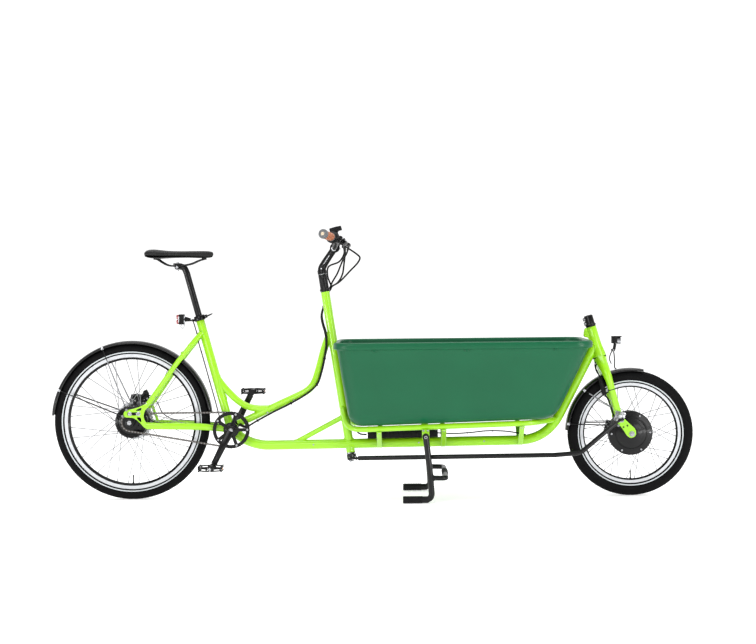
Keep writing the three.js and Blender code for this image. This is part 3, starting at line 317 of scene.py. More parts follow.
def plate(build, outline, y0, y1, holes=()):
    """A flat plate across Y: the outline and the holes list [x, z] points."""
    work = bmesh.new()
    edges = []
    for loop in [outline, *holes]:
        verts = [work.verts.new((x, y0, z)) for x, z in loop]
        edges.extend(work.edges.new((verts[i], verts[(i + 1) % len(verts)])) for i in range(len(verts)))
    made = bmesh.ops.triangle_fill(work, use_beauty=True, use_dissolve=False, edges=edges)
    front = [f for f in made["geom"] if isinstance(f, bmesh.types.BMFace)]
    more = bmesh.ops.extrude_face_region(work, geom=front)
    moved = [v for v in more["geom"] if isinstance(v, bmesh.types.BMVert)]
    bmesh.ops.translate(work, vec=(0, y1 - y0, 0), verts=moved)
    if not any(len(e.link_faces) > 2 for e in work.edges):
        bmesh.ops.recalc_face_normals(work, faces=work.faces)
    bmesh.ops.dissolve_limit(work, angle_limit=0.01, verts=work.verts, edges=work.edges)
    work.verts.index_update()
    build.add([v.co.copy() for v in work.verts], [tuple(v.index for v in f.verts) for f in work.faces])
    work.free()
    return build


def eased(outline, passes=2):
    """A closed outline with its corners cut, again and again, into curves."""
    for _ in range(passes):
        points = []
        for (x0, z0), (x1, z1) in zip(outline, outline[1:] + outline[:1]):
            points += [(x0 * 0.78 + x1 * 0.22, z0 * 0.78 + z1 * 0.22),
                       (x0 * 0.22 + x1 * 0.78, z0 * 0.22 + z1 * 0.78)]
        outline = points
    return outline


def polar(centre, radius, degrees):
    turn = math.radians(degrees)
    return (centre[0] + radius * math.cos(turn), centre[2] + radius * math.sin(turn))


def circle(centre, radius, count):
    return [polar(centre, radius, 360 * i / count) for i in range(count)]


def bolt(build, place, direction, radius, height, slot=0, socket=True):
    """A bolt head: a button with a hexagonal socket, or a hexagonal nut."""
    place, axis = Vector(place), Vector(direction).normalized()
    side, top, middle, depth, corners = (0.6, 0.85, 0.45, 0.35, 16) if socket else (0.8, 0.86, 0.5, 1.25, 6)
    return lathe(build, place, axis, [(0, -1), (radius, -1), (radius, height * side),
                                      (radius * top, height), (radius * 0.5, height),
                                      (radius * middle, height * depth), (0, height * depth)], corners,
                 slot)


def bead(build, point, direction, radius, other_point, other_direction, other_radius, size=2.4):
    """A weld bead, where a tube that runs along a direction meets the outside of another tube."""
    point, axis = Vector(point), Vector(direction).normalized()
    centre, along = Vector(other_point), Vector(other_direction).normalized()
    u = axis.orthogonal().normalized()
    v = axis.cross(u)
    ring = []
    count = 72
    for k in range(count):
        turn = 2 * math.pi * k / count
        start = point + (u * math.cos(turn) + v * math.sin(turn)) * radius
        offset = start - centre
        flat = offset - along * offset.dot(along)
        slope = axis - along * axis.dot(along)
        a, b, c = slope.dot(slope), 2 * flat.dot(slope), flat.dot(flat) - other_radius ** 2
        root = b * b - 4 * a * c
        if root < 0:
            return build
        near = (-b - math.sqrt(root)) / (2 * a)
        ring.append(start + axis * near)
    sides = 8
    points, faces = [], []
    for k, place in enumerate(ring):
        tangent = (ring[(k + 1) % count] - ring[k - 1]).normalized()
        out = (place - point)
        out = (out - axis * out.dot(axis)).normalized()
        out = (out - tangent * out.dot(tangent)).normalized()
        down = tangent.cross(out)
        r = size * (1 + 0.13 * math.sin(k * 2 * math.pi / 3))
        points.extend(place + out * (r * math.cos(2 * math.pi * i / sides)) +
                      down * (r * math.sin(2 * math.pi * i / sides)) for i in range(sides))
    for k in range(count):
        for i in range(sides):
            j, n = (i + 1) % sides, (k + 1) % count
            faces.append((k * sides + i, k * sides + j, n * sides + j, n * sides + i))
    return build.add(points, faces)


# ---------------------------------------------------------------- materials


def linear(r, g, b):
    """A colour from 0-255 display values to the linear values that shaders take."""
    return tuple((c / 255 / 12.92) if c <= 10 else ((c / 255 + 0.055) / 1.055) ** 2.4
                 for c in (r, g, b)) + (1.0,)


class Shader:
    """A node material under construction: one principled shader and helpers to feed its sockets."""

    def __init__(self, name, roughness=0.5, metallic=0.0, coat=0.0, coat_roughness=0.06, specular=0.5):
        self.material = bpy.data.materials.new(name)
        self.material.use_nodes = True
        self.tree = self.material.node_tree
        self.shader = self.tree.nodes["Principled BSDF"]
        self.shader.inputs["Roughness"].default_value = roughness
        self.shader.inputs["Metallic"].default_value = metallic
        self.shader.inputs["Coat Weight"].default_value = coat
        self.shader.inputs["Coat Roughness"].default_value = coat_roughness
        self.shader.inputs["Specular IOR Level"].default_value = specular
        self.coordinates = self.tree.nodes.new("ShaderNodeTexCoord").outputs["Object"]
        self.last_normal = None

    def noise(self, scale, detail=4.0, stretch=None):
        source = self.coordinates
        if stretch:
            mapping = self.tree.nodes.new("ShaderNodeMapping")
            mapping.inputs["Scale"].default_value = stretch
            self.tree.links.new(source, mapping.inputs["Vector"])
            source = mapping.outputs["Vector"]
        node = self.tree.nodes.new("ShaderNodeTexNoise")
        node.inputs["Scale"].default_value = scale
        node.inputs["Detail"].default_value = detail
        self.tree.links.new(source, node.inputs["Vector"])
        return node.outputs["Fac"]

    def cells(self, scale):
        node = self.tree.nodes.new("ShaderNodeTexVoronoi")
        node.inputs["Scale"].default_value = scale
        self.tree.links.new(self.coordinates, node.inputs["Vector"])
        return node.outputs["Distance"]

    def ramp(self, factor, stops):
        node = self.tree.nodes.new("ShaderNodeValToRGB")
        node.color_ramp.elements[0].position, node.color_ramp.elements[0].color = stops[0]
        node.color_ramp.elements[1].position, node.color_ramp.elements[1].color = stops[-1]
        for place, colour in stops[1:-1]:
            node.color_ramp.elements.new(place).color = colour
        self.tree.links.new(factor, node.inputs["Fac"])
        return node.outputs["Color"]

    def colour(self, factor, stops):
        self.tree.links.new(self.ramp(factor, stops), self.shader.inputs["Base Color"])
        return self

    def rough(self, factor, low, high):
        node = self.tree.nodes.new("ShaderNodeMapRange")
        node.inputs["From Min"].default_value = 0.3
        node.inputs["From Max"].default_value = 0.7
        node.inputs["To Min"].default_value = low
        node.inputs["To Max"].default_value = high
        self.tree.links.new(factor, node.inputs["Value"])
        self.tree.links.new(node.outputs["Result"], self.shader.inputs["Roughness"])
        return self

    def bump(self, factor, strength, distance):
        node = self.tree.nodes.new("ShaderNodeBump")
        node.inputs["Strength"].default_value = strength
        node.inputs["Distance"].default_value = distance
        self.tree.links.new(factor, node.inputs["Height"])
        if self.last_normal:
            self.tree.links.new(self.last_normal, node.inputs["Normal"])
        self.last_normal = node.outputs["Normal"]
        self.tree.links.new(self.last_normal, self.shader.inputs["Normal"])
        return self


def shades(colour, spread):
    """Two ramp stops, a little darker and a little lighter than a colour."""
    dark = tuple(max(0.0, c * (1 - spread)) for c in colour[:3]) + (1.0,)
    light = tuple(min(1.0, c * (1 + spread)) for c in colour[:3]) + (1.0,)
    return [(0.32, dark), (0.68, light)]


def surface(name, colour, spread, tint, rough, *heights, **looks):
    """A material with faint changes of colour and roughness, and bumps of noise or of cells."""
    s = Shader(name, **looks)
    s.colour(s.noise(*tint), shades(linear(*colour), spread))
    if rough:
        *grain, low, high = rough
        s.rough(s.noise(*grain), low, high)
    for *grain, strength, distance in heights:
        s.bump(s.noise(*grain) if len(grain) > 1 else s.cells(*grain), strength, distance)
    return s.material


def lens(name, colour, spread=0.1):
    s = Shader(name, coat=1.0)
    s.colour(s.cells(420), shades(linear(*colour), spread))
    return s.rough(s.noise(300, 2), 0.08, 0.2).bump(s.cells(420), 0.4, 0.0008).material


LIME = surface("lime_paint", (146, 209, 16), 0.04, (9, 3), (160, 3, 0.28, 0.4), (420, 2, 0.10, 0.0006),
               coat=0.6, coat_roughness=0.05, specular=0.35)
TUB = surface("tub_plastic", (6, 84, 52), 0.05, (5, 5), (60, 4, 0.30, 0.44), (900, 3, 0.22, 0.0005),
              (14, 2, 0.08, 0.004), coat=0.12, coat_roughness=0.22, specular=0.2)
BLACK = surface("black_metal", (7, 7, 8), 0.25, (30, 4), (240, 4, 0.3, 0.46), (1300, 2, 0.16, 0.0003),
                coat=0.12, specular=0.22)
ANODISED = surface("anodised_black", (6, 6, 7), 0.2, (50, 4), (900, 3, (1, 0.05, 1), 0.2, 0.32),
                   (2200, 2, (1, 0.04, 1), 0.1, 0.0002), coat=0.1, specular=0.2)
PLASTIC = surface("black_plastic", (6, 6, 7), 0.2, (45, 4), (320, 4, 0.4, 0.62), (1500, 0.2, 0.0003),
                  specular=0.2)
GUARD = surface("gloss_guard", (8, 8, 9), 0.18, (12, 4), (140, 4, 0.2, 0.34), (60, 3, 0.06, 0.0006),
                coat=0.22, specular=0.25)
RUBBER = surface("tyre_rubber", (5, 5, 6), 0.3, (70, 6), (420, 4, 0.62, 0.85), (1500, 3, 0.3, 0.0004),
                 specular=0.12)
BAND = surface("reflective_band", (198, 203, 206), 0.06, (500, 3), (700, 2, 0.3, 0.5),
               (1800, 0.2, 0.0002))
STEEL = surface("bright_steel", (168, 169, 172), 0.07, (80, 4), (500, 3, 0.2, 0.36),
                (1600, 2, 0.08, 0.0002), metallic=1.0)
ALLOY = surface("brushed_alloy", (196, 198, 201), 0.05, (60, 4), (900, 3, (1, 0.1, 1), 0.3, 0.46),
                (2400, 2, (1, 0.06, 1), 0.12, 0.0002), metallic=0.85)
SPOKE = surface("spoke_steel", (132, 133, 136), 0.1, (300, 3), (700, 3, 0.3, 0.42), (1600, 2, 0.08, 0.0002),
                metallic=0.7)
CHAIN = surface("chain_steel", (88, 84, 80), 0.2, (300, 4), (600, 3, 0.26, 0.46), (900, 2, 0.1, 0.0002),
                metallic=1.0)
COVER = surface("saddle_cover", (6, 6, 6), 0.22, (90, 5), (160, 4, 0.36, 0.55), (900, 0.35, 0.0006),
                specular=0.3)
THREAD = surface("stitching", (66, 66, 68), 0.2, (900, 3), None, (1800, 2, 0.3, 0.0003),
                 roughness=0.8)
TAN = surface("tan_grip", (158, 92, 58), 0.16, (120, 6), (260, 4, 0.45, 0.65), (1000, 0.4, 0.0006),
              specular=0.4)
# Beige: the thread of the grip stitching, and a painted highlight on the tips of the grip end caps.
BEIGE_THREAD_AND_HIGHLIGHT = surface("beige_thread_and_painted_highlight", (206, 188, 160), 0.08, (300, 4), (300, 3, 0.5, 0.7),
                (1200, 3, 0.2, 0.0003))
GREY = surface("grey_plastic", (92, 94, 96), 0.08, (90, 4), (300, 4, 0.4, 0.6),
               (1400, 0.2, 0.0003))
CABLE = surface("cable_black", (3, 3, 4), 0.2, (200, 4), (500, 3, 0.36, 0.52), (1400, 2, 0.15, 0.0002),
                specular=0.2)
RED_LENS = lens("red_lens", (150, 12, 14))
CLEAR_LENS = lens("clear_lens", (196, 200, 202), 0.14)
SCREEN = lens("screen_glass", (16, 18, 20), 0.05)
AMBER_LENS = lens("amber_reflector", (214, 122, 12))

SLOT_MATERIAL = {"lime_paint": LIME, "tub_plastic": TUB, "black_metal": BLACK, "black_plastic": PLASTIC,
                 "gloss_guard": GUARD, "tyre_rubber": RUBBER, "saddle_cover": COVER, "bright_steel": STEEL,
                 "tan_grip": TAN}

# ---------------------------------------------------------------- camera, light and floor

CAMERA_PLACE = vec(0.1439, -6.5, 0.8871)
CAMERA_YAW, CAMERA_PITCH, CAMERA_ROLL = -0.0172, -0.0246, -0.0104
CAMERA_LENS = 74.74


def place_camera():
    forward = vec(math.sin(CAMERA_YAW) * math.cos(CAMERA_PITCH),
                      math.cos(CAMERA_YAW) * math.cos(CAMERA_PITCH), math.sin(CAMERA_PITCH))
    right = vec(math.cos(CAMERA_YAW), -math.sin(CAMERA_YAW), 0)
    up = right.cross(forward)
    c, s = math.cos(CAMERA_ROLL), math.sin(CAMERA_ROLL)
    x_axis, y_axis = right * c + up * s, up * c - right * s
    data = bpy.data.cameras.new("camera")
    data.lens, data.sensor_width, data.sensor_fit = CAMERA_LENS, 36.0, "HORIZONTAL"
    data.clip_end = 100
    camera = bpy.data.objects.new("camera", data)
    camera.matrix_world = Matrix((
        (x_axis.x, y_axis.x, -forward.x, CAMERA_PLACE.x), (x_axis.y, y_axis.y, -forward.y, CAMERA_PLACE.y),
        (x_axis.z, y_axis.z, -forward.z, CAMERA_PLACE.z), (0, 0, 0, 1)))
    bpy.context.scene.collection.objects.link(camera)
    bpy.context.scene.camera = camera


def area_light(name, place, target, width, height, power):
    data = bpy.data.lights.new(name, "AREA")
    data.shape, data.size, data.size_y, data.energy = "RECTANGLE", width, height, power
    light = bpy.data.objects.new(name, data)
    light.location = place
    light.rotation_euler = (Vector(target) - Vector(place)).to_track_quat("-Z", "Y").to_euler()
    bpy.context.scene.collection.objects.link(light)


FRONT_LEVEL, BACK_LEVEL = 0.42, 1.12


def studio():
    world = bpy.data.worlds.new("studio")
    world.use_nodes = True
    nodes, links = world.node_tree.nodes, world.node_tree.links
    nodes["Background"].inputs["Color"].default_value = (1.0, 1.0, 1.0, 1.0)
    # White behind the bicycle and dimmer in front of it, so that black parts stay black.
    direction = nodes.new("ShaderNodeSeparateXYZ")
    links.new(nodes.new("ShaderNodeTexCoord").outputs["Generated"], direction.inputs["Vector"])
    level = nodes.new("ShaderNodeMapRange")
    limits = {"From Min": -0.5, "From Max": 0.25, "To Min": FRONT_LEVEL, "To Max": BACK_LEVEL}
    for name, value in limits.items():
        level.inputs[name].default_value = value
    links.new(direction.outputs["Y"], level.inputs["Value"])
    links.new(level.outputs["Result"], nodes["Background"].inputs["Strength"])
    bpy.context.scene.world = world
    bpy.context.scene.view_settings.view_transform = "Standard"
    area_light("overhead", (0.0, -0.3, 3.6), (0, 0, 0.3), 4.2, 1.8, 80)
    area_light("front_fill", (-1.6, -4.2, 2.2), (0, 0, 0.5), 2.6, 1.6, 62)
    area_light("front_side", (3.0, -3.0, 1.5), (0.2, 0, 0.5), 1.2, 1.8, 40)
    for side in (-1, 1):
        area_light("low_fill", (side * 3.4, -2.6, 0.12), (0, 0, 0.3), 1.6, 0.3, 30)
    floor = Build()
    reach, step = 40000, 8
    points = [(reach * (2 * i / step - 1), reach * (2 * j / step - 1), -0.4)
              for i in range(step + 1) for j in range(step + 1)]
    faces = [(i * (step + 1) + j, (i + 1) * (step + 1) + j, (i + 1) * (step + 1) + j + 1,
              i * (step + 1) + j + 1) for i in range(step) for j in range(step)]
    floor.add(points, faces)
    mesh = bpy.data.meshes.new("studio_floor")
    mesh.from_pydata([p * MM for p in floor.points], [], floor.faces)
    s = Shader("pale_floor", roughness=0.9)
    s.colour(s.noise(0.6, 2), [(0.0, (0.96, 0.96, 0.96, 1)), (1.0, (0.99, 0.99, 0.99, 1))])
    s.shader.inputs["Emission Color"].default_value = (1.0, 1.0, 1.0, 1.0)
    s.shader.inputs["Emission Strength"].default_value = 0.4
    mesh.materials.append(s.material)
    for face in mesh.polygons:
        face.use_smooth = True
    obj = bpy.data.objects.new("studio_floor", mesh)
    bpy.context.scene.collection.objects.link(obj)


place_camera()
studio()

# ---------------------------------------------------------------- frame tubes

BEAM_RADIUS, DOWN_RADIUS, STEP_RADIUS, BRACE_RADIUS = 20, 15, 14, 10.5
SEAT_RADIUS, COLUMN_RADIUS, HEAD_RADIUS, SHELL_RADIUS = 17.5, 18, 21.5, 21
BEAM_BEND = 195
BEAM_REAR = [(-572, 0, 282), (-546, 0, 258), (-504, 0, 235), (-452, 0, 221.5), (-400, 0, 220)]
BEAM_FRONT = [(-400, 0, 220), (725, 0, 233.5), (926, 0, 622)]
BEAM_PATH = curve_through(BEAM_REAR, 7)[:-1] + bent(BEAM_FRONT, BEAM_BEND, 18)
DOWN_PATH = [(-553, 0, 311), (-495, 0, 336), (-377, 0, 391), (-315, 0, 419), (-285, 0, 433), (-262, 0, 447),
             (-242, 0, 467), (-230, 0, 489), (-220, 0, 518), (-208, 0, 560), (-193, 0, 615), (-176, 0, 663),
             (-166, 0, 684)]
STEP_PATH = [(-646, 0, 518), (-624, 0, 482), (-585, 0, 436), (-548, 0, 402), (-511, 0, 381), (-474, 0, 373),
             (-425, 0, 372)]
HOOP_STATIONS = (34, 298, 615)
RAIL_RADIUS, RAIL_HALF = 11.5, 148
FLOOR_SLOPE = 0.03


def tub_floor(x):
    return 308 + FLOOR_SLOPE * (x + 41)


def beam_height(x):
    return 219 + (x + 480) * 0.012


def main_beam():
    b = Build()
    sweep(b, BEAM_PATH, BEAM_RADIUS, 32)
    rod(b, (-318, 0, 229), (-104, 0, 342), BRACE_RADIUS, 24)
    bead(b, (-200, 0, 291.4), (-0.884, 0, -0.467), BRACE_RADIUS, (-300, 0, 221), (1, 0, 0.012), BEAM_RADIUS)
    bead(b, (-200, 0, 291.4), (0.884, 0, 0.467), BRACE_RADIUS, COLUMN_FOOT, COLUMN_DIR, COLUMN_RADIUS)
    bead(b, (840, 0, 455.8), (0.459, 0, 0.888), BEAM_RADIUS, HEAD_FOOT, HEAD_DIR, HEAD_RADIUS, size=3)
    bead(b, (-530, 0, 247), (-0.78, 0, 0.62), BEAM_RADIUS, BRACKET, (0, 1, 0), SHELL_RADIUS, size=3)
    for x in HOOP_STATIONS:
        rail_z = tub_floor(x) - 2 * RAIL_RADIUS - 4.9
        beam_z = beam_height(x) - 20.5
        half = [(x, -158, rail_z), (x, -138, rail_z), (x, -26, beam_z + 8), (x, 0, beam_z + 1)]
        path = bent(half + [(x, -p[1], p[2]) for p in reversed(half[:-1])], 14, 4)
        strap = [(10, 1.6), (9, 2.5), (-9, 2.5), (-10, 1.6), (-10, -1.6), (-9, -2.5), (9, -2.5), (10, -1.6)]
        sweep(b, path, 1.0, section=strap, up=(1, 0, 0))
        for side in (-1, 1):
            bolt(b, (x, side * 148, rail_z - 2), (0, 0, -1), 5, 4, 1)
    # Small screws along the side of the beam, where the hose clips sit.
    for x in (-240, 196, 466):
        bolt(b, (x, -19.2, beam_height(x)), (0, -1, 0), 3.6, 3, 1)
    piece("main_beam_tube", b, [LIME, STEEL], "frame", "main_beam")
    gusset = Build()
    plate(gusset, eased([(894, 695), (886, 693), (883, 684), (880, 657), (903.5, 654), (903.5, 615),
                         (886, 611), (886, 596), (902, 572), (930, 600), (922, 660)], 1), -9, 9)
    piece("head_gusset", gusset, LIME, "frame", bevel=3, segments=4, angle=40)


def seat_tube():
    b = Build()
    length = (SEAT_TOP - SEAT_FOOT).length
    lathe(b, SEAT_FOOT, SEAT_DIR, [(0, -4), (17.5, -4), (17.5, length - 0.8), (16.9, length),
                                   (14.2, length), (14.0, length - 30), (0, length - 30)], 40)
    bead(b, SEAT_FOOT + SEAT_DIR * 60, -SEAT_DIR, 17.5, BRACKET, (0, 1, 0), SHELL_RADIUS, size=3)
    piece("seat_tube_shell", b, LIME, "frame", "seat_tube")


def seat_stays():
    b = Build()
    stay = [(-699, -15, 690), (-745, -37, 634), (-772, -43, 600), (-800, -47, 565), (-868, -61, 468),
            (-916, -71, 401)]
    path = curve_through(stay, 7)
    sweep(b, path, [11.2] * 8 + [10.5] * (len(path) - 8), 24)
    bead(b, (-745, -37, 634), (0.60, 0.286, 0.745), 10.8, SEAT_FOOT, SEAT_DIR, SEAT_RADIUS)
    b.mirrored()
    rod(b, (-777, 42, 607), (-777, -42, 607), 6, 20)
    for side in (-1, 1):
        bead(b, (-777, 0, 607), (0, side, 0), 6, (-777, side * 44, 607), (-0.62, 0, -0.78), 10.5, size=1.8)
    lathe(b, (-777, 0, 600), (0, 0, -1), [(0, 0), (6, 0), (6, 5), (2.5, 5), (2.5, 9), (0, 9)], 16, 1)
    piece("seat_stay_pair", b, [LIME, STEEL], "frame", "seatstays")


DROPOUT = [(-1018, 360), (-1016, 351), (-1008, 346), (-979, 345), (-966, 338), (-953, 327), (-943, 316),
           (-934, 305), (-920, 297), (-908, 297), (-912, 316), (-928, 327), (-934, 342), (-935, 358),
           (-928, 376), (-913, 391), (-911, 400), (-922, 404), (-940, 395), (-960, 386), (-984, 380),
           (-1006, 376), (-1015, 369)]
DROPOUT_WINDOWS = [[(-1002, 354.5), (-990, 354.5), (-962, 354.5), (-950, 354.5), (-950, 367.5),
                    (-962, 367.5), (-990, 367.5), (-1002, 367.5)], [(-968, 347), (-944, 347), (-944, 321)],
                   [(-973, 373.5), (-944, 373), (-941, 389)]]
DROPOUT_BOLTS = (-991, -956)
AXLE_PLATE = [(-20, -8), (-12, -19), (8, -19), (19, -8), (26, 22), (32, 44), (-8, 44), (-18, 22)]


def chain_stays():
    b = Build()
    stay = [(-590, -26, 291), (-640, -31.5, 296), (-690, -39, 302), (-766, -53, 306), (-860, -67, 309),
            (-924, -72, 311)]
    path = curve_through(stay, 7)
    sweep(b, path, [8.5] * len(path), 28, across=14 / 8.5, up=(0, 1, 0))
    bead(b, (-640, -31.5, 296), (0.99, 0.1, -0.1), 10.5, BRACKET, (0, 1, 0), SHELL_RADIUS, size=2.6)
    plate(b, eased(DROPOUT, 1), -76, -68, [eased(window) for window in DROPOUT_WINDOWS])
    for bolt_x in DROPOUT_BOLTS:
        lathe(b, (bolt_x, -76, 361), (0, -1, 0), [(0, 0), (8.4, 0), (8.8, 0.4), (8.8, 1.2), (0, 1.2)], 28,
              1)
        bolt(b, (bolt_x, -77, 361), (0, -1, 0), 5.6, 3.6, 1)
    b.mirrored()
    rod(b, (-922, 72, 385), (-899, 70, 318), 6, 20)
    piece("chain_stay_pair", b, [LIME, STEEL], "frame", "chainstays", bevel=1.4, angle=50)
    shell = Build()
    profile = [(12, -34), (20.2, -34), (21, -33.2), (21, 33.2), (20.2, 34), (12, 34)]
    lathe(shell, BRACKET, (0, 1, 0), profile, 56)
    for side in (-1, 1):
        cup = [(8, 33), (19.5, 33), (19.5, 36.4), (17.5, 38.2), (9.4, 38.2)]
        lathe(shell, BRACKET, (0, side, 0), cup, 24, 1)
    piece("bracket_shell", shell, [LIME, ANODISED], "frame")


def down_tube():
    b = Build()
    sweep(b, curve_through(DOWN_PATH, 5), DOWN_RADIUS, 32)
    path = curve_through(STEP_PATH, 8)
    sweep(b, path + [vec(-400, 0, 373)], STEP_RADIUS, 32)
    bead(b, (-495, 0, 336), (-0.92, 0, -0.396), DOWN_RADIUS, BRACKET, (0, 1, 0), SHELL_RADIUS, size=2.8)
    bead(b, (-624, 0, 482), (-0.516, 0, 0.857), STEP_RADIUS, SEAT_FOOT, SEAT_DIR, SEAT_RADIUS)
    bead(b, (-470, 0, 372.6), (1, 0, 0), STEP_RADIUS, (-377, 0, 391), (0.908, 0, 0.418), DOWN_RADIUS)
    bead(b, (-193, 0, 615), (0.52, 0, 0.854), DOWN_RADIUS, COLUMN_FOOT, COLUMN_DIR, COLUMN_RADIUS)
    for x, z, y in ((-430, 349, -16.4), (-320, 400, -16.2)):
        bolt(b, (x, y + 2, z + 8), (0, -1, 0), 3.4, 2.4, 1)
    piece("down_tube_pair", b, [LIME, STEEL], "frame", "down_tube")


def column_tube():
    b = Build()
    length = (COLUMN_TOP - COLUMN_FOOT).length
    lathe(b, COLUMN_FOOT, COLUMN_DIR, [(15, 0), (17.2, 0), (18, 0.8), (18, length - 0.8), (17.2, length),
                                       (15, length)], 48)
    bead(b, COLUMN_FOOT + COLUMN_DIR * 300, -COLUMN_DIR, 18, (0, 0, 226.5), (1, 0, 0.012), BEAM_RADIUS,
         size=2.8)
    piece("column_tube_shell", b, LIME, "frame", "column_tube")
    ring = Build()
    lathe(ring, COLUMN_TOP, COLUMN_DIR, [(15.4, -3), (18.6, -3), (19.4, -2), (19.4, 0.2), (15.4, 0.2)], 40)
    lathe(ring, COLUMN_FOOT, COLUMN_DIR, [(15.4, -0.2), (19.2, -0.2), (19.2, 3.4), (18.2, 4.4),
                                          (15.4, 4.4)], 40)
    piece("column_bearing_rings", ring, ANODISED, "frame")


def head_tube():
    b = Build()
    length = (HEAD_TOP - HEAD_FOOT).length
    profile = [(16, 4.6), (27.4, 4.6), (28, 5.4), (27.8, 12), (27, 20), (25.4, 30), (23.6, 42), (22.2, 54),
               (21.4, 66), (20.5, length - 3.4), (19.8, length - 2.6), (16, length - 2.6)]
    lathe(b, HEAD_FOOT, HEAD_DIR, profile, 48)
    piece("head_tube_shell", b, LIME, "frame", "head_tube", angle=45)
    ring = Build()
    lathe(ring, HEAD_FOOT, HEAD_DIR, [(15, 0.2), (27.8, 0.2), (28.6, 1), (28.6, 3.6), (27.8, 4.4),
                                      (15, 4.4)], 48)
    lathe(ring, HEAD_TOP, HEAD_DIR, [(15, -2.6), (20.6, -2.6), (20.9, -1.6), (20.4, 0.2), (15, 0.2)], 40)
    piece("head_bearing_rings", ring, ANODISED, "frame")


def cradle_rail(side, name):
    y = -RAIL_HALF
    b = Build()

    def under(x, at):
        return (x, at, tub_floor(x) - RAIL_RADIUS - 1.5)

    rear = curve_through([(-118, -10, 374), (-109, -48, 340), (-98, -90, 314), (-76, -124, 299),
                          under(-35, y + 3), under(20, y)], 6)
    front = curve_through([under(610, y), under(660, y + 14), under(706, y + 62), under(738, -48),
                           under(758, -10)], 6)
    sweep(b, rear + front, RAIL_RADIUS, 24)
    bead(b, (-109, -48, 340), (-0.2, 0.78, 0.6), 11.5, COLUMN_FOOT, COLUMN_DIR, COLUMN_RADIUS)
    for x in (-5, 120, 340, 520):
        lathe(b, (x, y, tub_floor(x) - 2.6), (0, 0, 1), [(0, -3), (7, -3), (7, 1.4), (0, 1.4)], 18)
    box(b, (223, y - 12, 275), (30, 16, 40))
    bolt(b, (214, y - 20, 290), (0, -1, 0), 4.2, 2.6, 1)
    bolt(b, (232, y - 20, 290), (0, -1, 0), 4.2, 2.6, 1)
    if side > 0:
        b.points = [vec(p.x, -p.y, p.z) for p in b.points]
    piece(name + "_tube", b, [LIME, STEEL], "frame", name, bevel=1.2, angle=50)


main_beam()
seat_tube()
seat_stays()
chain_stays()
down_tube()
column_tube()
head_tube()
cradle_rail(-1, "cradle_rail_right")
cradle_rail(1, "cradle_rail_left")

# ---------------------------------------------------------------- cargo tub

TUB_RIM, TUB_WALL, TUB_CORNER, FLOOR_BEND = 622, 4.5, 62, 52
TUB_REAR, TUB_FRONT, TUB_HALF, TUB_MIDDLE = -132, 883.5, 234, 370
REAR_SLOPE, FRONT_SLOPE, SIDE_SLOPE = 0.158, 0.4417, 0.16


def tub_ring(z, offset, tilt_share=0.0, shrink=0.0, level=None):
    """A rounded rectangle round the tub at a height, moved outward by an offset."""
    per_corner, straight = 12, 7
    depth = TUB_RIM - z
    grow = offset - shrink
    rear = TUB_REAR + depth * REAR_SLOPE - grow
    front = TUB_FRONT - depth * FRONT_SLOPE + grow
    half = TUB_HALF - depth * SIDE_SLOPE + grow
    radius = max(TUB_CORNER + grow, 12)
    ring = []
    for x, y, start in ((front, half, 0), (rear, half, 90), (rear, -half, 180), (front, -half, 270)):
        cx = x - math.copysign(radius, x - TUB_MIDDLE)
        cy = y - math.copysign(radius, y)
        corner = []
        for k in range(per_corner + 1):
            px, py = polar((cx, 0, cy), radius, start + 90 * k / per_corner)
            corner.append((px, py))
        if ring:
            ax, ay = ring[-1]
            for k in range(1, straight):
                t = k / straight
                ring.append((ax + (corner[0][0] - ax) * t, ay + (corner[0][1] - ay) * t))
        ring.extend(corner)
    ax, ay = ring[-1]
    bx, by = ring[0]
    ring.extend((ax + (bx - ax) * k / straight, ay + (by - ay) * k / straight) for k in range(1, straight))
    rise = tilt_share * FLOOR_SLOPE
    return [(x, y, (z if level is None else level) + rise * (x - TUB_MIDDLE)) for x, y in ring]


def tub_wall(inset):
    floor = tub_floor(TUB_MIDDLE) + inset
    radius = FLOOR_BEND - inset
    rings = [tub_ring(TUB_RIM - 6, -inset), tub_ring(560, -inset, 0.15), tub_ring(470, -inset, 0.4),
             tub_ring(floor + radius, -inset, 0.9)]
    for degrees in (11, 22, 34, 45, 56, 68, 79, 90):
        turn = math.radians(degrees)
        rings.append(tub_ring(floor + radius * (1 - math.sin(turn)), -inset, 1,
                              radius * (1 - math.cos(turn)) * 0.85))
    return rings


def close_floor(build, base, ring):
    """Fills a tub ring with ever smaller copies of itself, down to a middle face."""
    count = len(ring)
    middle = sum((Vector(p) for p in ring), Vector()) / count
    for share in (0.7, 0.4, 0.15):
        here = len(build.points)
        build.points.extend(middle + (Vector(p) - middle) * share for p in ring)
        for i in range(count):
            j = (i + 1) % count
            build.faces.append((base + i, base + j, here + j, here + i))
        base = here
    build.faces.append(tuple(base + i for i in range(count)))
    build.slots.extend([0] * (3 * count + 1))


def clear_of(points, origin, direction, radius):
    """Moves points that lie inside a round bar out to its surface, so that a moulding makes room for it."""
    origin, axis = Vector(origin), Vector(direction).normalized()
    moved = []
    for point in points:
        offset = point - origin
        flat = offset - axis * offset.dot(axis)
        moved.append(point + flat.normalized() * (radius - flat.length) if flat.length < radius else point)
    return moved


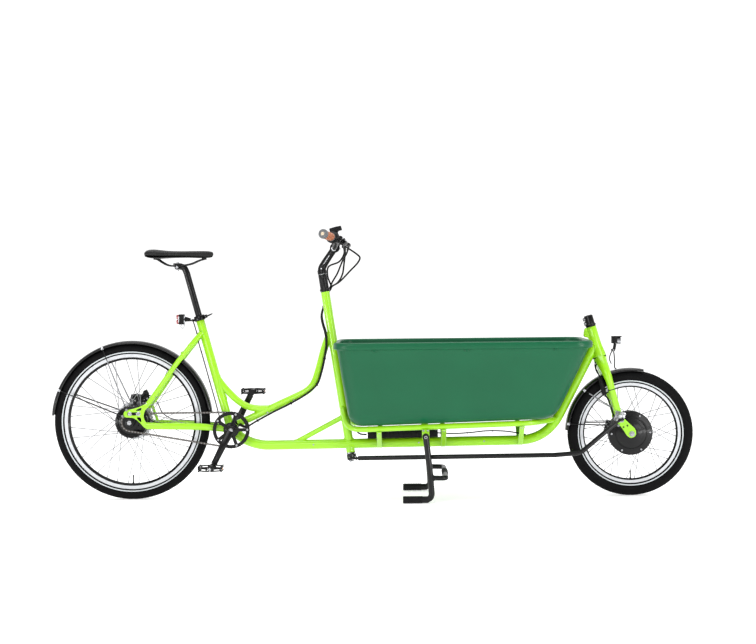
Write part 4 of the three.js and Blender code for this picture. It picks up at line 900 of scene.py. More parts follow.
def cargo_tub():
    b = Build()
    rim = [(-4.5, 616), (-4.2, 640), (-3.0, 646.5), (0.2, 649.4), (4, 650), (8, 649.6), (11.8, 647.4),
           (13.6, 643.6), (14, 639), (14, 628), (13.4, 624), (11.6, 622.2), (9, 622), (5, 621.8),
           (1.8, 620.6), (0.3, 618)]
    rings = list(reversed(tub_wall(TUB_WALL)))[:-1]
    rings += [tub_ring(TUB_RIM, offset, level=z) for offset, z in rim]
    rings += tub_wall(0)
    skin(b, rings, caps=False)
    close_floor(b, 0, rings[0])
    close_floor(b, (len(rings) - 1) * len(rings[0]), rings[-1])
    b.points = clear_of(b.points, COLUMN_FOOT, COLUMN_DIR, 18.6)
    b.points = clear_of(b.points, HEAD_FOOT, HEAD_DIR, 21.4)
    piece("cargo_tub_shell", b, TUB, "frame", "cargo_tub", angle=50)
    lugs = Build()
    for x in (20, 390, 745):
        for side in (-1, 1):
            box(lugs, (x, side * 237, 618.6), (15, 9, 9))
            box(lugs, (x, side * 238, 613.2), (9, 7, 4))
    piece("tub_rim_lugs", lugs, TUB, "frame", bevel=1.6, segments=3)
    bolts = Build()
    for x in (34, 298, 540):
        for side in (-1, 1):
            z = tub_floor(x) + TUB_WALL - 0.1
            lathe(bolts, (x, side * 120, z), (0, 0, 1), [(0, 0), (14, 0), (14, 1.4), (12.6, 2), (0, 2)], 28)
            bolt(bolts, (x, side * 120, z + 2), (0, 0, 1), 6, 3.4)
    piece("tub_floor_bolts", bolts, STEEL, "frame")


cargo_tub()

# ---------------------------------------------------------------- wheels


def tyre(axle, radius, half_width, bead_radius, band_at, name, node, body):
    """A tyre with a round casing, two grooves round it and slanting sipes across its shoulders."""
    b = Build()
    middle = (radius + bead_radius) / 2 - 2
    reach = radius - middle
    around, across = 288, 44
    points = []
    for k in range(around):
        turn = 2 * math.pi * k / around
        for i in range(across + 1):
            lean = math.radians(-146 + 292 * i / across)
            out = reach if abs(lean) < math.pi / 2 else middle - bead_radius + 6
            r = middle + out * math.cos(lean)
            y = half_width * math.sin(lean)
            depth = 0.0
            share = abs(math.degrees(lean))
            if share < 62:
                if 9 <= share < 15 or 35 <= share < 41:
                    depth = 1.5
                elif share >= 15 and (k + int(share / 5) * (1 if lean > 0 else -1)) % 6 == 0:
                    depth = 1.2
                elif share < 9 and k % 12 == 0:
                    depth = 0.7
            elif 62 <= share < 74 and k % 3 == 0:
                depth = 0.6
            r -= depth * math.cos(lean)
            y -= depth * math.sin(lean)
            points.append((axle.x + r * math.cos(turn), y, axle.z + r * math.sin(turn)))
    row = across + 1
    faces = []
    for k in range(around):
        n = (k + 1) % around
        faces.extend((k * row + i, k * row + i + 1, n * row + i + 1, n * row + i) for i in range(across))
        faces.append((k * row + across, k * row, n * row, n * row + across))
    b.add(points, faces)
    piece(name, b, RUBBER, body, node, angle=50)
    band = Build()
    bead_reach = middle - bead_radius + 6
    for side in (-1, 1):
        lip = []
        for above, grow in ((-0.4, -0.2), (0, 0.5), (3.6, 0.5), (4.0, -0.2)):
            lean = math.acos((bead_radius + (band_at + above) - middle) / bead_reach)
            lip.append((middle + (bead_reach + grow) * math.cos(lean),
                        side * (half_width + grow) * math.sin(lean)))
        lathe(band, axle, (0, 1, 0), lip, 144)
    piece(name + "_bands", band, BAND, body)


def rim(axle, outer, inner, flank_depth, name, node, body):
    """A hollow-looking rim: black hooks and bed, with bright flanks between them."""
    b = Build()
    flank = (outer - flank_depth, outer - 4)
    half = [(inner, 4.5), (inner + 2.2, 7.4), (flank[0] - 0.6, 11.2), (flank[0], 11.8), (flank[1], 12.1),
            (flank[1] + 0.8, 12.6), (outer, 12.5), (outer, 10.4), (outer - 6.5, 9.6), (outer - 8.5, 5)]
    profile = [(r, -y) for r, y in half] + half[::-1]
    slots = [1 if row in (3, 15) else 0 for row in range(len(profile))]
    lathe(b, axle, (0, 1, 0), profile, 144, slots=slots)
    piece(name, b, [BLACK, ALLOY], body, node, angle=30)


def spokes(axle, hub_radius, hub_y, rim_radius, crossing, body):
    """Thirty-six crossed spokes with their elbows, and the nipples at the rim."""
    wires, nipples = Build(), Build()
    for k in range(36):
        side = 1 if k % 2 else -1
        lead = 1 if (k // 2) % 2 else -1
        rim_angle = math.radians(10 * k + 5)
        hub_angle = rim_angle + lead * math.radians(crossing)
        skin = hub_y + (1.3 if lead > 0 else -1.3)
        hub = vec(axle.x + hub_radius * math.cos(hub_angle), side * skin,
                  axle.z + hub_radius * math.sin(hub_angle))
        seat = vec(axle.x + rim_radius * math.cos(rim_angle), side * 2.0,
                   axle.z + rim_radius * math.sin(rim_angle))
        run = (seat - hub).normalized()
        elbow = hub + vec(0, -side * 2.6 * lead, 0)
        sweep(wires, [elbow, hub, hub + run * 2.2, seat - run * 3], 1.4, 8)
        lathe(wires, elbow, (0, -side * lead, 0), [(0, -0.2), (1.9, -0.2), (1.7, 0.7), (0, 1.1)], 10)
        lathe(nipples, seat - run * 11, run, [(0, 0), (1.5, 0), (1.9, 1), (1.9, 11), (2.6, 11.5), (2.6, 14),
                (0, 14)], 10)
    piece(body + "_spokes", wires, SPOKE, body)
    piece(body + "_nipples", nipples, SPOKE, body)
    valve = Build()
    root = vec(axle.x, 0, axle.z - rim_radius + 2)
    lathe(valve, root, (0, 0, 1), [(0, 0), (4.2, 0), (4.2, 3), (3, 3.6), (2.6, 5), (2.6, 26), (2.9, 26.4),
                                   (2.9, 33), (2.1, 35), (0, 35)], 16)
    for k in range(6):
        lathe(valve, root + vec(0, 0, 7 + 2.6 * k), (0, 0, 1), [(2.5, 0), (3.0, 0.6), (2.5, 1.2)], 12)
    piece(body + "_valve", valve, PLASTIC, body)


def rear_hub():
    b = Build()
    profile = [(7, -37.6), (30, -38), (38, -37), (44, -35.2), (50, -33.8), (58, -32), (66, -30.4),
               (68, -29.6), (68, -25.4), (66.6, -24.4), (64, -22), (62.6, -18), (62.6, 18), (64, 22),
               (66.6, 25.4), (68, 26.4), (68, 31), (66, 32), (58, 34), (50, 37), (42, 41), (34, 43.6),
               (7, 44)]
    lathe(b, REAR_AXLE, (0, 1, 0), profile, 72)
    for k in range(18):
        for side, y in ((-1, -28), (1, 28)):
            x, z = polar(REAR_AXLE, 66.2, 20 * k + (10 if side > 0 else 0))
            lathe(b, (x, y, z), (0, side, 0), [(0, -3.4), (1.6, -3.4), (1.6, 3.2), (0, 3.2)], 8, 1)
    for k in range(8):
        x, z = polar(REAR_AXLE, 46, 45 * k + 12)
        bolt(b, (x, -34.6, z), (0, -1, 0), 2.6, 1.8)
    for radius in (54, 60):
        lathe(b, REAR_AXLE, (0, 1, 0), [(radius - 1.2, -32.4 - (60 - radius) * 0.3),
                                        (radius, -34.2 - (60 - radius) * 0.3),
                                        (radius + 1.2, -32 - (60 - radius) * 0.3)], 72)
    piece("rear_hub_shell", b, [ANODISED, STEEL], "rear_wheel", "rear_hub", angle=32)


def hub_motor():
    b = Build()
    profile = [(7, -37.8), (24, -38), (30, -37.4), (34, -36), (38, -34), (50, -32.6), (60, -30.6),
               (68, -27.6), (73, -25), (84, -24), (90, -21), (91, -18.6), (91, -16), (88.5, -15),
               (88.5, 15), (91, 16), (91, 18.6), (90, 21), (84, 24), (73, 25), (66, 28), (52, 33.5),
               (40, 35.5), (30, 37), (7, 38)]
    lathe(b, FRONT_AXLE, (0, 1, 0), profile, 96)
    lathe(b, FRONT_AXLE, (0, 1, 0), [(62, -29.8), (63.2, -31), (64.4, -29.6)], 96)
    for side in (-1, 1):
        for k in range(6):
            x, z = polar(FRONT_AXLE, 79.5, 60 * k + 2)
            lathe(b, (x, side * 23.6, z), (0, side, 0), [(0, 0), (6.4, 0), (6.4, 1.4), (5.6, 2), (0, 2)],
                  20, 0)
            bolt(b, (x, side * 25.2, z), (0, side, 0), 4.2, 2.6, 1)
        for k in range(18):
            x, z = polar(FRONT_AXLE, 88.6, 20 * k + (10 if side > 0 else 0))
            lathe(b, (x, side * 17, z), (0, side, 0), [(0, -3), (1.6, -3), (1.6, 3.2), (0, 3.2)], 8, 1)
    piece("hub_motor_shell", b, [BLACK, STEEL], "front_wheel", "hub_motor", angle=26)


def rotor(axle, y, radius, inner, name, node, body):
    """A disc with a scalloped edge, rows of slanting holes and six curved arms to its carrier."""
    b = Build()
    outline = []
    for i in range(144):
        outline.append(polar(axle, radius - 1.1 + 1.1 * math.cos(12 * math.radians(i * 2.5)), i * 2.5))
    track = radius - 15
    holes = [circle(axle, 8, 24)]
    for k in range(6):
        a, n = 60 * k, 9
        hole = [polar(axle, track - 2, a + 8 + 42 * i / n) for i in range(n + 1)]
        hole += [polar(axle, inner + 5, a + 32 - 18 * i / 4) for i in range(5)]
        holes.append(hole)
    for k in range(36):
        for row, rise in ((0, 4.2), (1, 10.2)):
            x, z = polar(axle, track + rise, 10 * k + row * 4)
            holes.append([polar((x, 0, z), 1.7, 45 * i) for i in range(8)])
    plate(b, outline, y - 0.9, y + 0.9, holes)
    for k in range(6):
        x, z = polar(axle, inner - 8, 60 * k + 20)
        bolt(b, (x, y + 0.8, z), (0, 1, 0), 4.4, 2.6, 1)
    lathe(b, (axle.x, y, axle.z), (0, 1, 0), [(8, 0.8), (inner - 12, 0.8), (inner - 13, 2.6), (8, 2.6)], 36,
          1)
    piece(name, b, [ALLOY, ANODISED], body, node, angle=30)


def axle_shaft(axle, half, nut_inner, name, node, body):
    b = Build()
    x, _, z = axle
    rod(b, (x, -half, z), (x, half, z), 4.9, 24, round_ends=0.8)
    for side in (-1, 1):
        washer = [(5, nut_inner), (11, nut_inner), (11.4, nut_inner + 0.6), (11, nut_inner + 1.4),
                  (5, nut_inner + 1.4)]
        lathe(b, (x, 0, z), (0, side, 0), washer, 28)
        lathe(b, (x, 0, z), (0, side, 0), [(4.9, nut_inner + 1.4), (8.6, nut_inner + 1.4),
                                           (9.2, nut_inner + 2.2), (9.2, nut_inner + 6),
                                           (8.4, nut_inner + 7), (4.9, nut_inner + 7)], 6)
        for k in range(4):
            y = nut_inner + 7.2 + k * 1.1
            if y < half - 1.2:
                lathe(b, (x, 0, z), (0, side, 0), [(4.8, y), (5.5, y + 0.5), (4.8, y + 1.0)], 20)
    piece(name, b, STEEL, body, node)


def rear_axle():
    """The axle with a black carrier plate and a round cap inside each dropout."""
    b = Build()
    x, _, z = REAR_AXLE
    plate(b, eased([(x + dx, z + dz) for dx, dz in AXLE_PLATE]), -67.6, -64)
    lathe(b, (x, 0, z), (0, -1, 0), [(5.8, 66), (15, 66), (17, 67), (17.8, 69), (17.8, 76), (16.4, 79),
                                     (12.6, 80), (11.6, 79.2), (5.8, 79.2)], 48)
    b.mirrored()
    piece("rear_axle_carrier", b, BLACK, "frame", "rear_axle", angle=32)
    c = Build()
    rod(c, (x, -84, z), (x, 84, z), 5.0, 24, round_ends=0.8)
    for side in (-1, 1):
        lathe(c, (x, 0, z), (0, side, 0), [(5, 79), (9.4, 79), (10, 79.8), (10, 82.2), (9.2, 83), (5, 83)],
              6)
    piece("rear_axle_shaft", c, STEEL, "frame")


def caliper(axle, rotor_y, rotor_radius, degrees, name, node, body):
    """A two-sided caliper over the rotor's edge, with its bolts, bleed screw and hose fitting."""
    b = Build()
    x, z = polar(axle, rotor_radius - 4, degrees)
    spin = tilt(-math.radians(degrees - 90))

    def at(dx, dy, dz):
        return spin @ vec(dx, dy, dz) + vec(x, rotor_y + 3, z)

    box(b, at(0, -8.4, -1), (50, 6.6, 31), spin)
    box(b, at(0, 4.6, -1), (50, 13.0, 31), spin)
    box(b, at(0, -2.6, 12.6), (50, 12, 7.6), spin)
    piece(name + "_body", b, ANODISED, body, node, bevel=2.2, segments=3)
    d = Build()
    for dx in (-18, 18):
        bolt(d, at(dx, 10.8, 5), (0, 1, 0), 4.6, 2.6)
        bolt(d, at(dx, -11.4, 5), (0, -1, 0), 3.6, 1.4)
    lathe(d, at(0, 9.8, -2), (0, 1, 0), [(0, 0), (10.4, 0), (10.4, 1.2), (9.2, 2.2), (4, 2.2), (3.4, 1.4),
                                         (0, 1.4)], 32, 1)
    lathe(d, at(0, -11.0, -2), (0, -1, 0), [(0, 0), (9.4, 0), (9.4, 0.8), (8.4, 1.4), (0, 1.4)], 32, 1)
    lathe(d, at(15, 3, 15.5), spin @ vec(0.1, 0, 1), [(0, -2), (3.4, -2), (3.4, 3), (2.2, 3.6), (0, 3.6)],
          6)
    piece(name + "_fittings", d, [STEEL, GREY], body)


tyre(REAR_AXLE, REAR_RADIUS, 23.5, 285.6, 1.6, "rear_tyre_casing", "rear_tyre", "rear_wheel")
tyre(FRONT_AXLE, FRONT_RADIUS, 25, 211.6, 1.8, "front_tyre_casing", "front_tyre", "front_wheel")
rim(REAR_AXLE, 285, 258, 17.5, "rear_rim_hoop", "rear_rim", "rear_wheel")
rim(FRONT_AXLE, 211, 189, 15.5, "front_rim_hoop", "front_rim", "front_wheel")
spokes(REAR_AXLE, 66, 28, 260, 34, "rear_wheel")
spokes(FRONT_AXLE, 88, 17, 191, 22, "front_wheel")
rear_hub()
hub_motor()
rotor(REAR_AXLE, 50, 80, 34, "rear_brake_disc", "rear_brake_rotor", "rear_wheel")
rotor(FRONT_AXLE, 42, 90, 42, "front_brake_disc", "front_brake_rotor", "front_wheel")
rear_axle()
axle_shaft(FRONT_AXLE, 66, 58.4, "front_axle_shaft", "front_axle", "fork")
caliper(REAR_AXLE, 50, 80, 74, "rear_caliper", "rear_brake_caliper", "frame")
caliper(FRONT_AXLE, 42, 90, 164, "front_caliper", "front_brake_caliper", "fork")

# ---------------------------------------------------------------- mudguards


def mudguard(axle, outer, half, start, end, stays, clips, name, node, body):
    """A rolled channel round the wheel, with wire stays held by bright clips."""
    b = Build()
    section = []
    for k in range(17):
        turn = math.radians(-90 + 180 * k / 16)
        section.append((outer - 11 * (1 - math.cos(turn)) ** 1.25, half * math.sin(turn)))
    section += [(outer - 12.4, half - 0.6), (outer - 12.2, half - 1.9), (outer - 10.6, half - 2.1)]
    for k in range(15, 0, -1):
        turn = math.radians(-90 + 180 * k / 16)
        section.append((outer - 1.9 - 11 * (1 - math.cos(turn)) ** 1.25, (half - 1.6) * math.sin(turn)))
    section += [(outer - 10.6, 2.1 - half), (outer - 12.2, 1.9 - half), (outer - 12.4, 0.6 - half)]
    steps = 64
    rings = []
    for i in range(steps + 1):
        degrees = start + (end - start) * i / steps
        taper = min(1.0, 0.80 + 0.05 * min(i, steps - i))
        rings.append([(*polar(axle, radius, degrees), y * taper) for radius, y in section])
    skin(b, [[(px, y, pz) for px, pz, y in ring] for ring in rings])
    piece(name, b, GUARD, body, node, angle=50)
    w = Build()
    for degrees, foot in stays:
        px, pz = polar(axle, outer - 7, degrees)
        top = vec(px, -half + 0.2, pz)
        low = Vector(foot)
        lean = (low - top).normalized()
        sweep(w, [top + vec(0, 5.0, 0), top + lean * 3, low - lean * 4, low + vec(0, 6, 0)], 1.9, 12)
        sweep(w, [low.lerp(top, 0.8), low.lerp(top, 0.08)], 2.7, 14, 0 if degrees > 150 else 1)
        lathe(w, low + vec(0, 4, 0), (0, -1, 0), [(0, 0), (5, 0), (5, 7), (4, 8), (0, 8)], 18, 1)
    w.mirrored()
    piece(name + "_stays", w, [BLACK, SPOKE], body)
    c = Build()
    for degrees in clips:
        for side in (-1, 1):
            px, pz = polar(axle, outer - 9, degrees)
            spin = tilt(-math.radians(degrees - 90))
            box(c, (px, side * (half - 0.4), pz), (9, 3.4, 11), spin)
            bolt(c, (px, side * (half + 1.0), pz), (0, side, 0), 2.6, 1.6)
    piece(name + "_clips", c, ALLOY, body, bevel=0.8)


REAR_STAYS = [(156, (-1021, -80, 352)), (111, (-1004, -80, 377))]
FRONT_STAYS = [(137, (980, -50, 374)), (171, (1012, -82, 296))]
mudguard(REAR_AXLE, 336, 29, 6, 175, REAR_STAYS, (156, 111), "rear_guard", "rear_mudguard", "frame")
mudguard(FRONT_AXLE, 269, 31, 78, 177, FRONT_STAYS, (137, 171), "front_guard", "front_mudguard", "fork")

# ---------------------------------------------------------------- drivetrain


def pitch_radius(teeth):
    return PITCH / 2 / math.sin(math.pi / teeth)


def tooth_outline(centre, teeth):
    """Round valleys that a chain's rollers sit in, with narrow tips between them."""
    outline = []
    reach = pitch_radius(teeth)
    for k in range(teeth):
        for share, rise in ((0.0, -3.9), (0.14, -3.5), (0.26, -1.9), (0.36, 1.2), (0.45, 3.6), (0.55, 3.6),
                            (0.64, 1.2), (0.74, -1.9), (0.86, -3.5)):
            outline.append(polar(centre, reach + rise, 360 * (k + share) / teeth))
    return outline


def caliper_bracket():
    """The rear caliper's adapter, its cable arm and the clamp that holds the hose."""
    b = Build()
    plate(b, eased([(-1012, 392), (-1004, 384), (-940, 396), (-930, 412), (-934, 436), (-946, 452),
                    (-958, 446), (-962, 430), (-984, 436), (-1006, 432), (-1014, 414)]), 61, 66)
    box(b, (-998, 56, 424), (20, 16, 14), tilt(0.3))
    box(b, (-944, 62, 440), (15, 14, 22), tilt(-0.5))
    lathe(b, (-972, 60, 412), (0, 1, 0), [(0, 0), (15, 0), (15, 9), (13, 10.6), (0, 10.6)], 32)
    c = Build()
    for x, z in ((-1004, 410), (-982, 430), (-940, 414), (-950, 444)):
        bolt(c, (x, 60.4, z), (0, -1, 0), 4.2, 3.2)
        bolt(c, (x, 66.2, z), (0, 1, 0), 4.6, 3.2)
    piece("caliper_adapter", b, ANODISED, "frame", bevel=1.2, angle=40)
    piece("caliper_adapter_bolts", c, STEEL, "frame")


caliper_bracket()


def sprocket():
    b = Build()
    cuts = [circle(REAR_AXLE, 17, 32)]
    plate(b, tooth_outline(REAR_AXLE, SPROCKET_TEETH), CHAIN_Y - 1.2, CHAIN_Y + 1.2, cuts)
    piece("rear_sprocket", b, ANODISED, "sprocket", "sprocket", angle=30)
    c = Build()
    lathe(c, REAR_AXLE, (0, 1, 0), [(9.5, CHAIN_Y - 2.4), (19.5, CHAIN_Y - 2.4),
            (20.5, CHAIN_Y - 1.4), (20.5, CHAIN_Y + 1.8), (24, CHAIN_Y + 2.4), (24, CHAIN_Y + 6),
            (9.5, CHAIN_Y + 6)], 48)
    piece("rear_driver", c, ANODISED, "sprocket")


def chain_points():
    """Places of the chain's pins, at even steps round both toothed wheels and along the straight runs."""
    rear_r, front_r = pitch_radius(SPROCKET_TEETH), pitch_radius(RING_TEETH)
    span = math.hypot(BRACKET.x - REAR_AXLE.x, BRACKET.z - REAR_AXLE.z)
    heading = math.degrees(math.atan2(BRACKET.z - REAR_AXLE.z, BRACKET.x - REAR_AXLE.x))
    turn = 90 + math.degrees(math.asin((front_r - rear_r) / span))
    line = []
    for i in range(241):
        line.append(polar(BRACKET, front_r, heading - turn + 2 * turn * i / 240))
    for i in range(121):
        line.append(polar(REAR_AXLE, rear_r, heading + turn + 2 * (180 - turn) * i / 120))
    line.append(line[0])
    line = [vec(x, CHAIN_Y, z) for x, z in line]
    lengths = [0.0]
    for a, b in zip(line, line[1:]):
        lengths.append(lengths[-1] + (b - a).length)
    count = 2 * round(lengths[-1] / PITCH / 2)
    pins, at = [], 0
    for k in range(count):
        want = lengths[-1] * k / count
        while lengths[at + 1] < want:
            at += 1
        share = (want - lengths[at]) / (lengths[at + 1] - lengths[at])
        pins.append(line[at].lerp(line[at + 1], share))
    return pins


LINK_RADIUS = 4.1


def chain():
    """Inner and outer link plates in turn, with their rollers and pins."""
    pins = chain_points()
    b = Build()
    for k, start in enumerate(pins):
        end = pins[(k + 1) % len(pins)]
        along = (end - start).normalized()
        across = vec(-along.z, 0, along.x)
        outline = []
        for pin, first, waist in ((start, 90, -2.7), (end, -90, 2.7)):
            for i in range(9):
                a = math.radians(first + 22.5 * i)
                outline.append(pin + along * (LINK_RADIUS * math.cos(a))
                               + across * (LINK_RADIUS * math.sin(a)))
            outline.append(start.lerp(end, 0.5) + across * waist)
        inner, outer = (1.7, 2.7) if k % 2 else (2.8, 3.8)
        for side in (-1, 1):
            near = [p + vec(0, side * inner, 0) for p in outline]
            far = [p + vec(0, side * outer, 0) for p in outline]
            n = len(outline)
            faces = [tuple(range(n)), tuple(range(n, 2 * n))]
            faces += [(i, (i + 1) % n, n + (i + 1) % n, n + i) for i in range(n)]
            b.add(near + far, faces)
        lathe(b, start, (0, 1, 0), [(0, -4.4), (1.6, -4.4), (1.8, -3.9), (1.8, 3.9), (1.6, 4.4), (0, 4.4)],
              10, 1)
        lathe(b, start, (0, 1, 0), [(1.8, -1.6), (3.6, -1.6), (3.6, 1.6), (1.8, 1.6)], 12, 1)
    piece("drive_chain", b, [CHAIN, STEEL], "frame", "chain", angle=40)


def chainring():
    b = Build()
    plate(b, tooth_outline(BRACKET, RING_TEETH), CHAIN_Y - 1.3, CHAIN_Y + 1.3, [circle(BRACKET, 66, 72)])
    for k in range(SPIDER_ARMS):
        x, z = polar(BRACKET, SPIDER_RADIUS, SPIDER_TURN + 360 / SPIDER_ARMS * k)
        lathe(b, (x, CHAIN_Y, z), (0, 1, 0), [(0, -2.6), (6.4, -2.6), (6.4, 2.2), (0, 2.2)], 20)
    piece("toothed_ring", b, ANODISED, "crankset", "chainring", angle=30)


def arm_section(half_wide, half_thick):
    """A soft-cornered section for a crank arm: wide in the crank's plane, thin across it."""
    out = []
    for i in range(20):
        a = 2 * math.pi * i / 20
        c, s = math.cos(a), math.sin(a)
        out.append((half_thick * math.copysign(abs(c) ** 0.6, c),
                    half_wide * math.copysign(abs(s) ** 0.6, s)))
    return out


def crank_arm(b, side, from_y, to_y):
    direction = CRANK_DIR * (CRANK_LENGTH * side)
    end = BRACKET + direction
    hub_y, tip_y = from_y - side * 7, to_y - side * 6
    path = [BRACKET + vec(0, hub_y, 0) + direction * t + vec(0, (tip_y - hub_y) * min(1, t * 2.4), 0)
            for t in (0.03, 0.12, 0.25, 0.4, 0.6, 0.8, 0.93)]
    widths = [17, 16.4, 15.4, 14.4, 13.4, 12.6, 13]
    base = arm_section(1.0, 0.56)
    sweep(b, path, widths, section=base, up=(0, 1, 0))
    for centre, y, radius in ((BRACKET, from_y, 17), (end, to_y, 13.4)):
        out = [(0, 0.6), (radius - 1.2, 0.6), (radius, 1.8), (radius, 12), (radius - 1.4, 13.4), (0, 13.4)]
        lathe(b, (centre.x, y, centre.z), (0, -side, 0), out, 40)
    lathe(b, (BRACKET.x, from_y - side * 13.2, BRACKET.z), (0, -side, 0),
          [(0, 0), (8.6, 0), (8.2, 1.6), (4.4, 2), (4, 0.8), (0, 0.8)], 28, 1)
    lathe(b, (end.x, to_y - side * 13.2, end.z), (0, -side, 0), [(0, 0), (6.8, 0), (6.4, 0.8), (0, 0.8)],
          24, 1)
    groove = [BRACKET + vec(0, hub_y - side * 7.7, 0) + direction * t +
              vec(0, (tip_y - hub_y) * min(1, t * 2.4), 0) for t in (0.2, 0.4, 0.6, 0.8)]
    sweep(b, groove, [2.2, 2.0, 1.8, 1.5], 10, round_ends=1.0)


def cranks():
    b = Build()
    crank_arm(b, 1, -58, -74)
    for k in range(SPIDER_ARMS):
        turn = SPIDER_TURN + 360 / SPIDER_ARMS * k
        x, z = polar(BRACKET, SPIDER_RADIUS, turn)
        near_x, near_z = polar(BRACKET, 10, turn)
        path = [(near_x, -57.4, near_z), ((near_x + x) / 2, -56.6, (near_z + z) / 2), (x, -55.4, z)]
        sweep(b, path, [11, 7, 7.4], section=[(0.34 * math.cos(a), math.sin(a)) for a in
                                                (2 * math.pi * i / 16 for i in range(16))], up=(0, 1, 0))
        bolt(b, (x, -57.6, z), (0, -1, 0), 4.6, 2.2, 1)
    lathe(b, BRACKET, (0, 1, 0), [(0, -59), (19, -59), (21, -57.6), (31, -57.4),
            (32, -56.6), (32, -55), (15, -53), (15, -40), (0, -40)], 40)
    guard = [(62.4, -57.6), (75, -57.6), (76, -56.8), (76, -55.4), (75, -54.6), (62.4, -54.6),
             (61.4, -55.4), (61.4, -56.8)]
    lathe(b, BRACKET, (0, 1, 0), guard, 96)
    piece("crank_right_arm", b, [ANODISED, STEEL], "crankset", "crank_right", angle=34)
    c = Build()
    crank_arm(c, -1, 58, 74)
    rod(c, (BRACKET.x, -39.4, BRACKET.z), (BRACKET.x, 60, BRACKET.z), 9, 28)
    lathe(c, (BRACKET.x, 58, BRACKET.z), (0, -1, 0), [(9, 0), (14.5, 0), (14.5, 9), (13, 10), (9, 10)], 32)
    piece("crank_left_arm", c, [ANODISED, STEEL], "crankset", "crank_left", angle=34)


def pedal(side, name, body):
    """An open cage with toothed bars, rubber treads, reflectors and a barrel round its axle."""
    place = BRACKET + CRANK_DIR * (CRANK_LENGTH * side)
    x, z, y = place.x, place.z, -side * PEDAL_Y
    b = Build()
    for edge in (-1, 1):
        for rise in (-1, 1):
            box(b, (x + edge * 46, y, z + rise * 8.4), (5.5, 84, 5.0))
            for k in range(9):
                box(b, (x + edge * 46, y - 36 + 9 * k, z + rise * 10.6), (4.6, 3.6, 2.4))
        box(b, (x + edge * 48.2, y, z), (3.2, 66, 9))
        for rise in (-1, 1):
            for end in (-39.2, 39.2):
                box(b, (x + edge * 24.5, y + end, z + rise * 7.2), (43, 5.2, 5.2), tilt(edge * rise * 0.06))
        for end in (-39.2, 39.2):
            box(b, (x + edge * 42.5, y + end, z), (6, 5, 14))
            box(b, (x + edge * 14, y + end, z), (6, 5, 14))
    piece(name + "_cage", b, PLASTIC, body, name, bevel=0.9, segments=2)
    c = Build()
    profile = [(0, -41), (7.4, -41), (8.6, -39), (9.4, -34), (9.4, 30), (10.4, 34), (10.4, 41), (8.6, 43),
               (0, 43)]
    lathe(c, (x, y, z), (0, side, 0), profile, 32)
    lathe(c, (x, -side * 86.6, z), (0, -side, 0), [(0, 0), (7.6, 0), (7.6, 3.2), (5.6, 3.8), (5.6, 12),
            (0, 12)], 6, 1)
    lathe(c, (x, y - side * 40, z), (0, -side, 0), [(0, 0), (6.2, 0), (6.2, 2.4), (4.8, 3.2), (0, 3.2)], 24,
          1)
    for rise in (-1, 1):
        box(c, (x, y, z + rise * 8.6), (15, 56, 3.4))
    piece(name + "_barrel", c, [PLASTIC, STEEL], body, bevel=0.6)
    d = Build()
    for edge in (-1, 1):
        box(d, (x + edge * 49.6, y, z), (1.6, 52, 7.4))
    piece(name + "_reflectors", d, AMBER_LENS, body, bevel=0.4)


sprocket()
chain()
chainring()
cranks()
pedal(1, "pedal_right", "pedal_right")
pedal(-1, "pedal_left", "pedal_left")

# ---------------------------------------------------------------- centre stand


def kickstand():
    pivot_x, pivot_z, half, foot, bar_x, bar_z = 223, 267, 200, 15, 303, 101
    b = Build()
    leg = bent([(pivot_x, -half, pivot_z + 6), (240, -half, 110), (246, -half, foot), (210, -half, foot)],
               26, 8)
    sweep(b, leg, 12.5, 28)
    sweep(b, [(132, -half, foot), (140, -half, foot), (228, -half, foot), (232, -half, foot)],
          [12.2, 13.6, 13.6, 12.2], 28, round_ends=2.0)
    arm = bent([(243, -half, bar_z + 1), (bar_x, -half, bar_z), (bar_x, 0, bar_z)], 24, 8)
    sweep(b, arm, 10.5, 28)
    bead(b, (262, -half, bar_z + 0.6), (-1, 0, 0), 10.5, (241, -half, 100), (0.05, 0, -1), 12.5)
    lathe(b, (pivot_x, 0, pivot_z), (0, -1, 0), [(0, 148.5), (8, 148.5), (8, 184), (14, 186), (14, 208),
            (12.8, 209.4), (0, 209.4)], 32)
    b.mirrored()
    piece("stand_frame", b, BLACK, "stand", "kickstand", angle=45)
    c = Build()
    for side in (-1, 1):
        sweep(c, [(128.5, side * half, foot), (131, side * half, foot), (206, side * half, foot),
                  (208, side * half, foot)], [13.0, 14.6, 14.6, 13.2], 32)
        for k in range(9):
            lathe(c, (138 + 8 * k, side * half, foot), (1, 0, 0), [(14.0, 0), (15, 1), (15, 3), (14.0, 4)],
                  32)
    ribs = 12
    sweep(c, [(bar_x, -64, bar_z), (bar_x, -60, bar_z), (bar_x, 60, bar_z), (bar_x, 64, bar_z)],
          [11, 12.6, 12.6, 11], 32)
    for k in range(ribs):
        lathe(c, (bar_x, -52 + 9 * k, bar_z), (0, 1, 0), [(12.2, 0), (13.3, 1), (13.3, 3.4), (12.2, 4.4)],
              32)
    piece("stand_rubber", c, PLASTIC, "stand")
    d = Build()
    for side in (-1, 1):
        bolt(d, (pivot_x, side * 209.6, pivot_z), (0, side, 0), 7, 3.6)
    piece("stand_pivot_bolts", d, STEEL, "stand")


kickstand()

# ---------------------------------------------------------------- fork and steering


def on_axis(origin, direction, distance):
    return Vector(origin) + Vector(direction) * distance


def at_height(origin, direction, z):
    return on_axis(origin, direction, (z - origin[2]) / direction[2])


BALL_REAR = vec(at_height(COLUMN_TOP, COLUMN_DIR, 176).x, -130, 176)
BALL_FRONT = vec(at_height(HEAD_TOP, HEAD_DIR, 325).x, -130, 325)
LEG_PATH = [(950, 12, 562), (954, 28, 548), (962, 46, 526), (969.5, 58, 504), (977, 63, 482),
            (990, 64, 434), (1006, 64, 374), (1021, 64, 318)]
LEG_RADII = [24, 23, 20.5, 17.4, 15.2, 14, 14, 13.6]


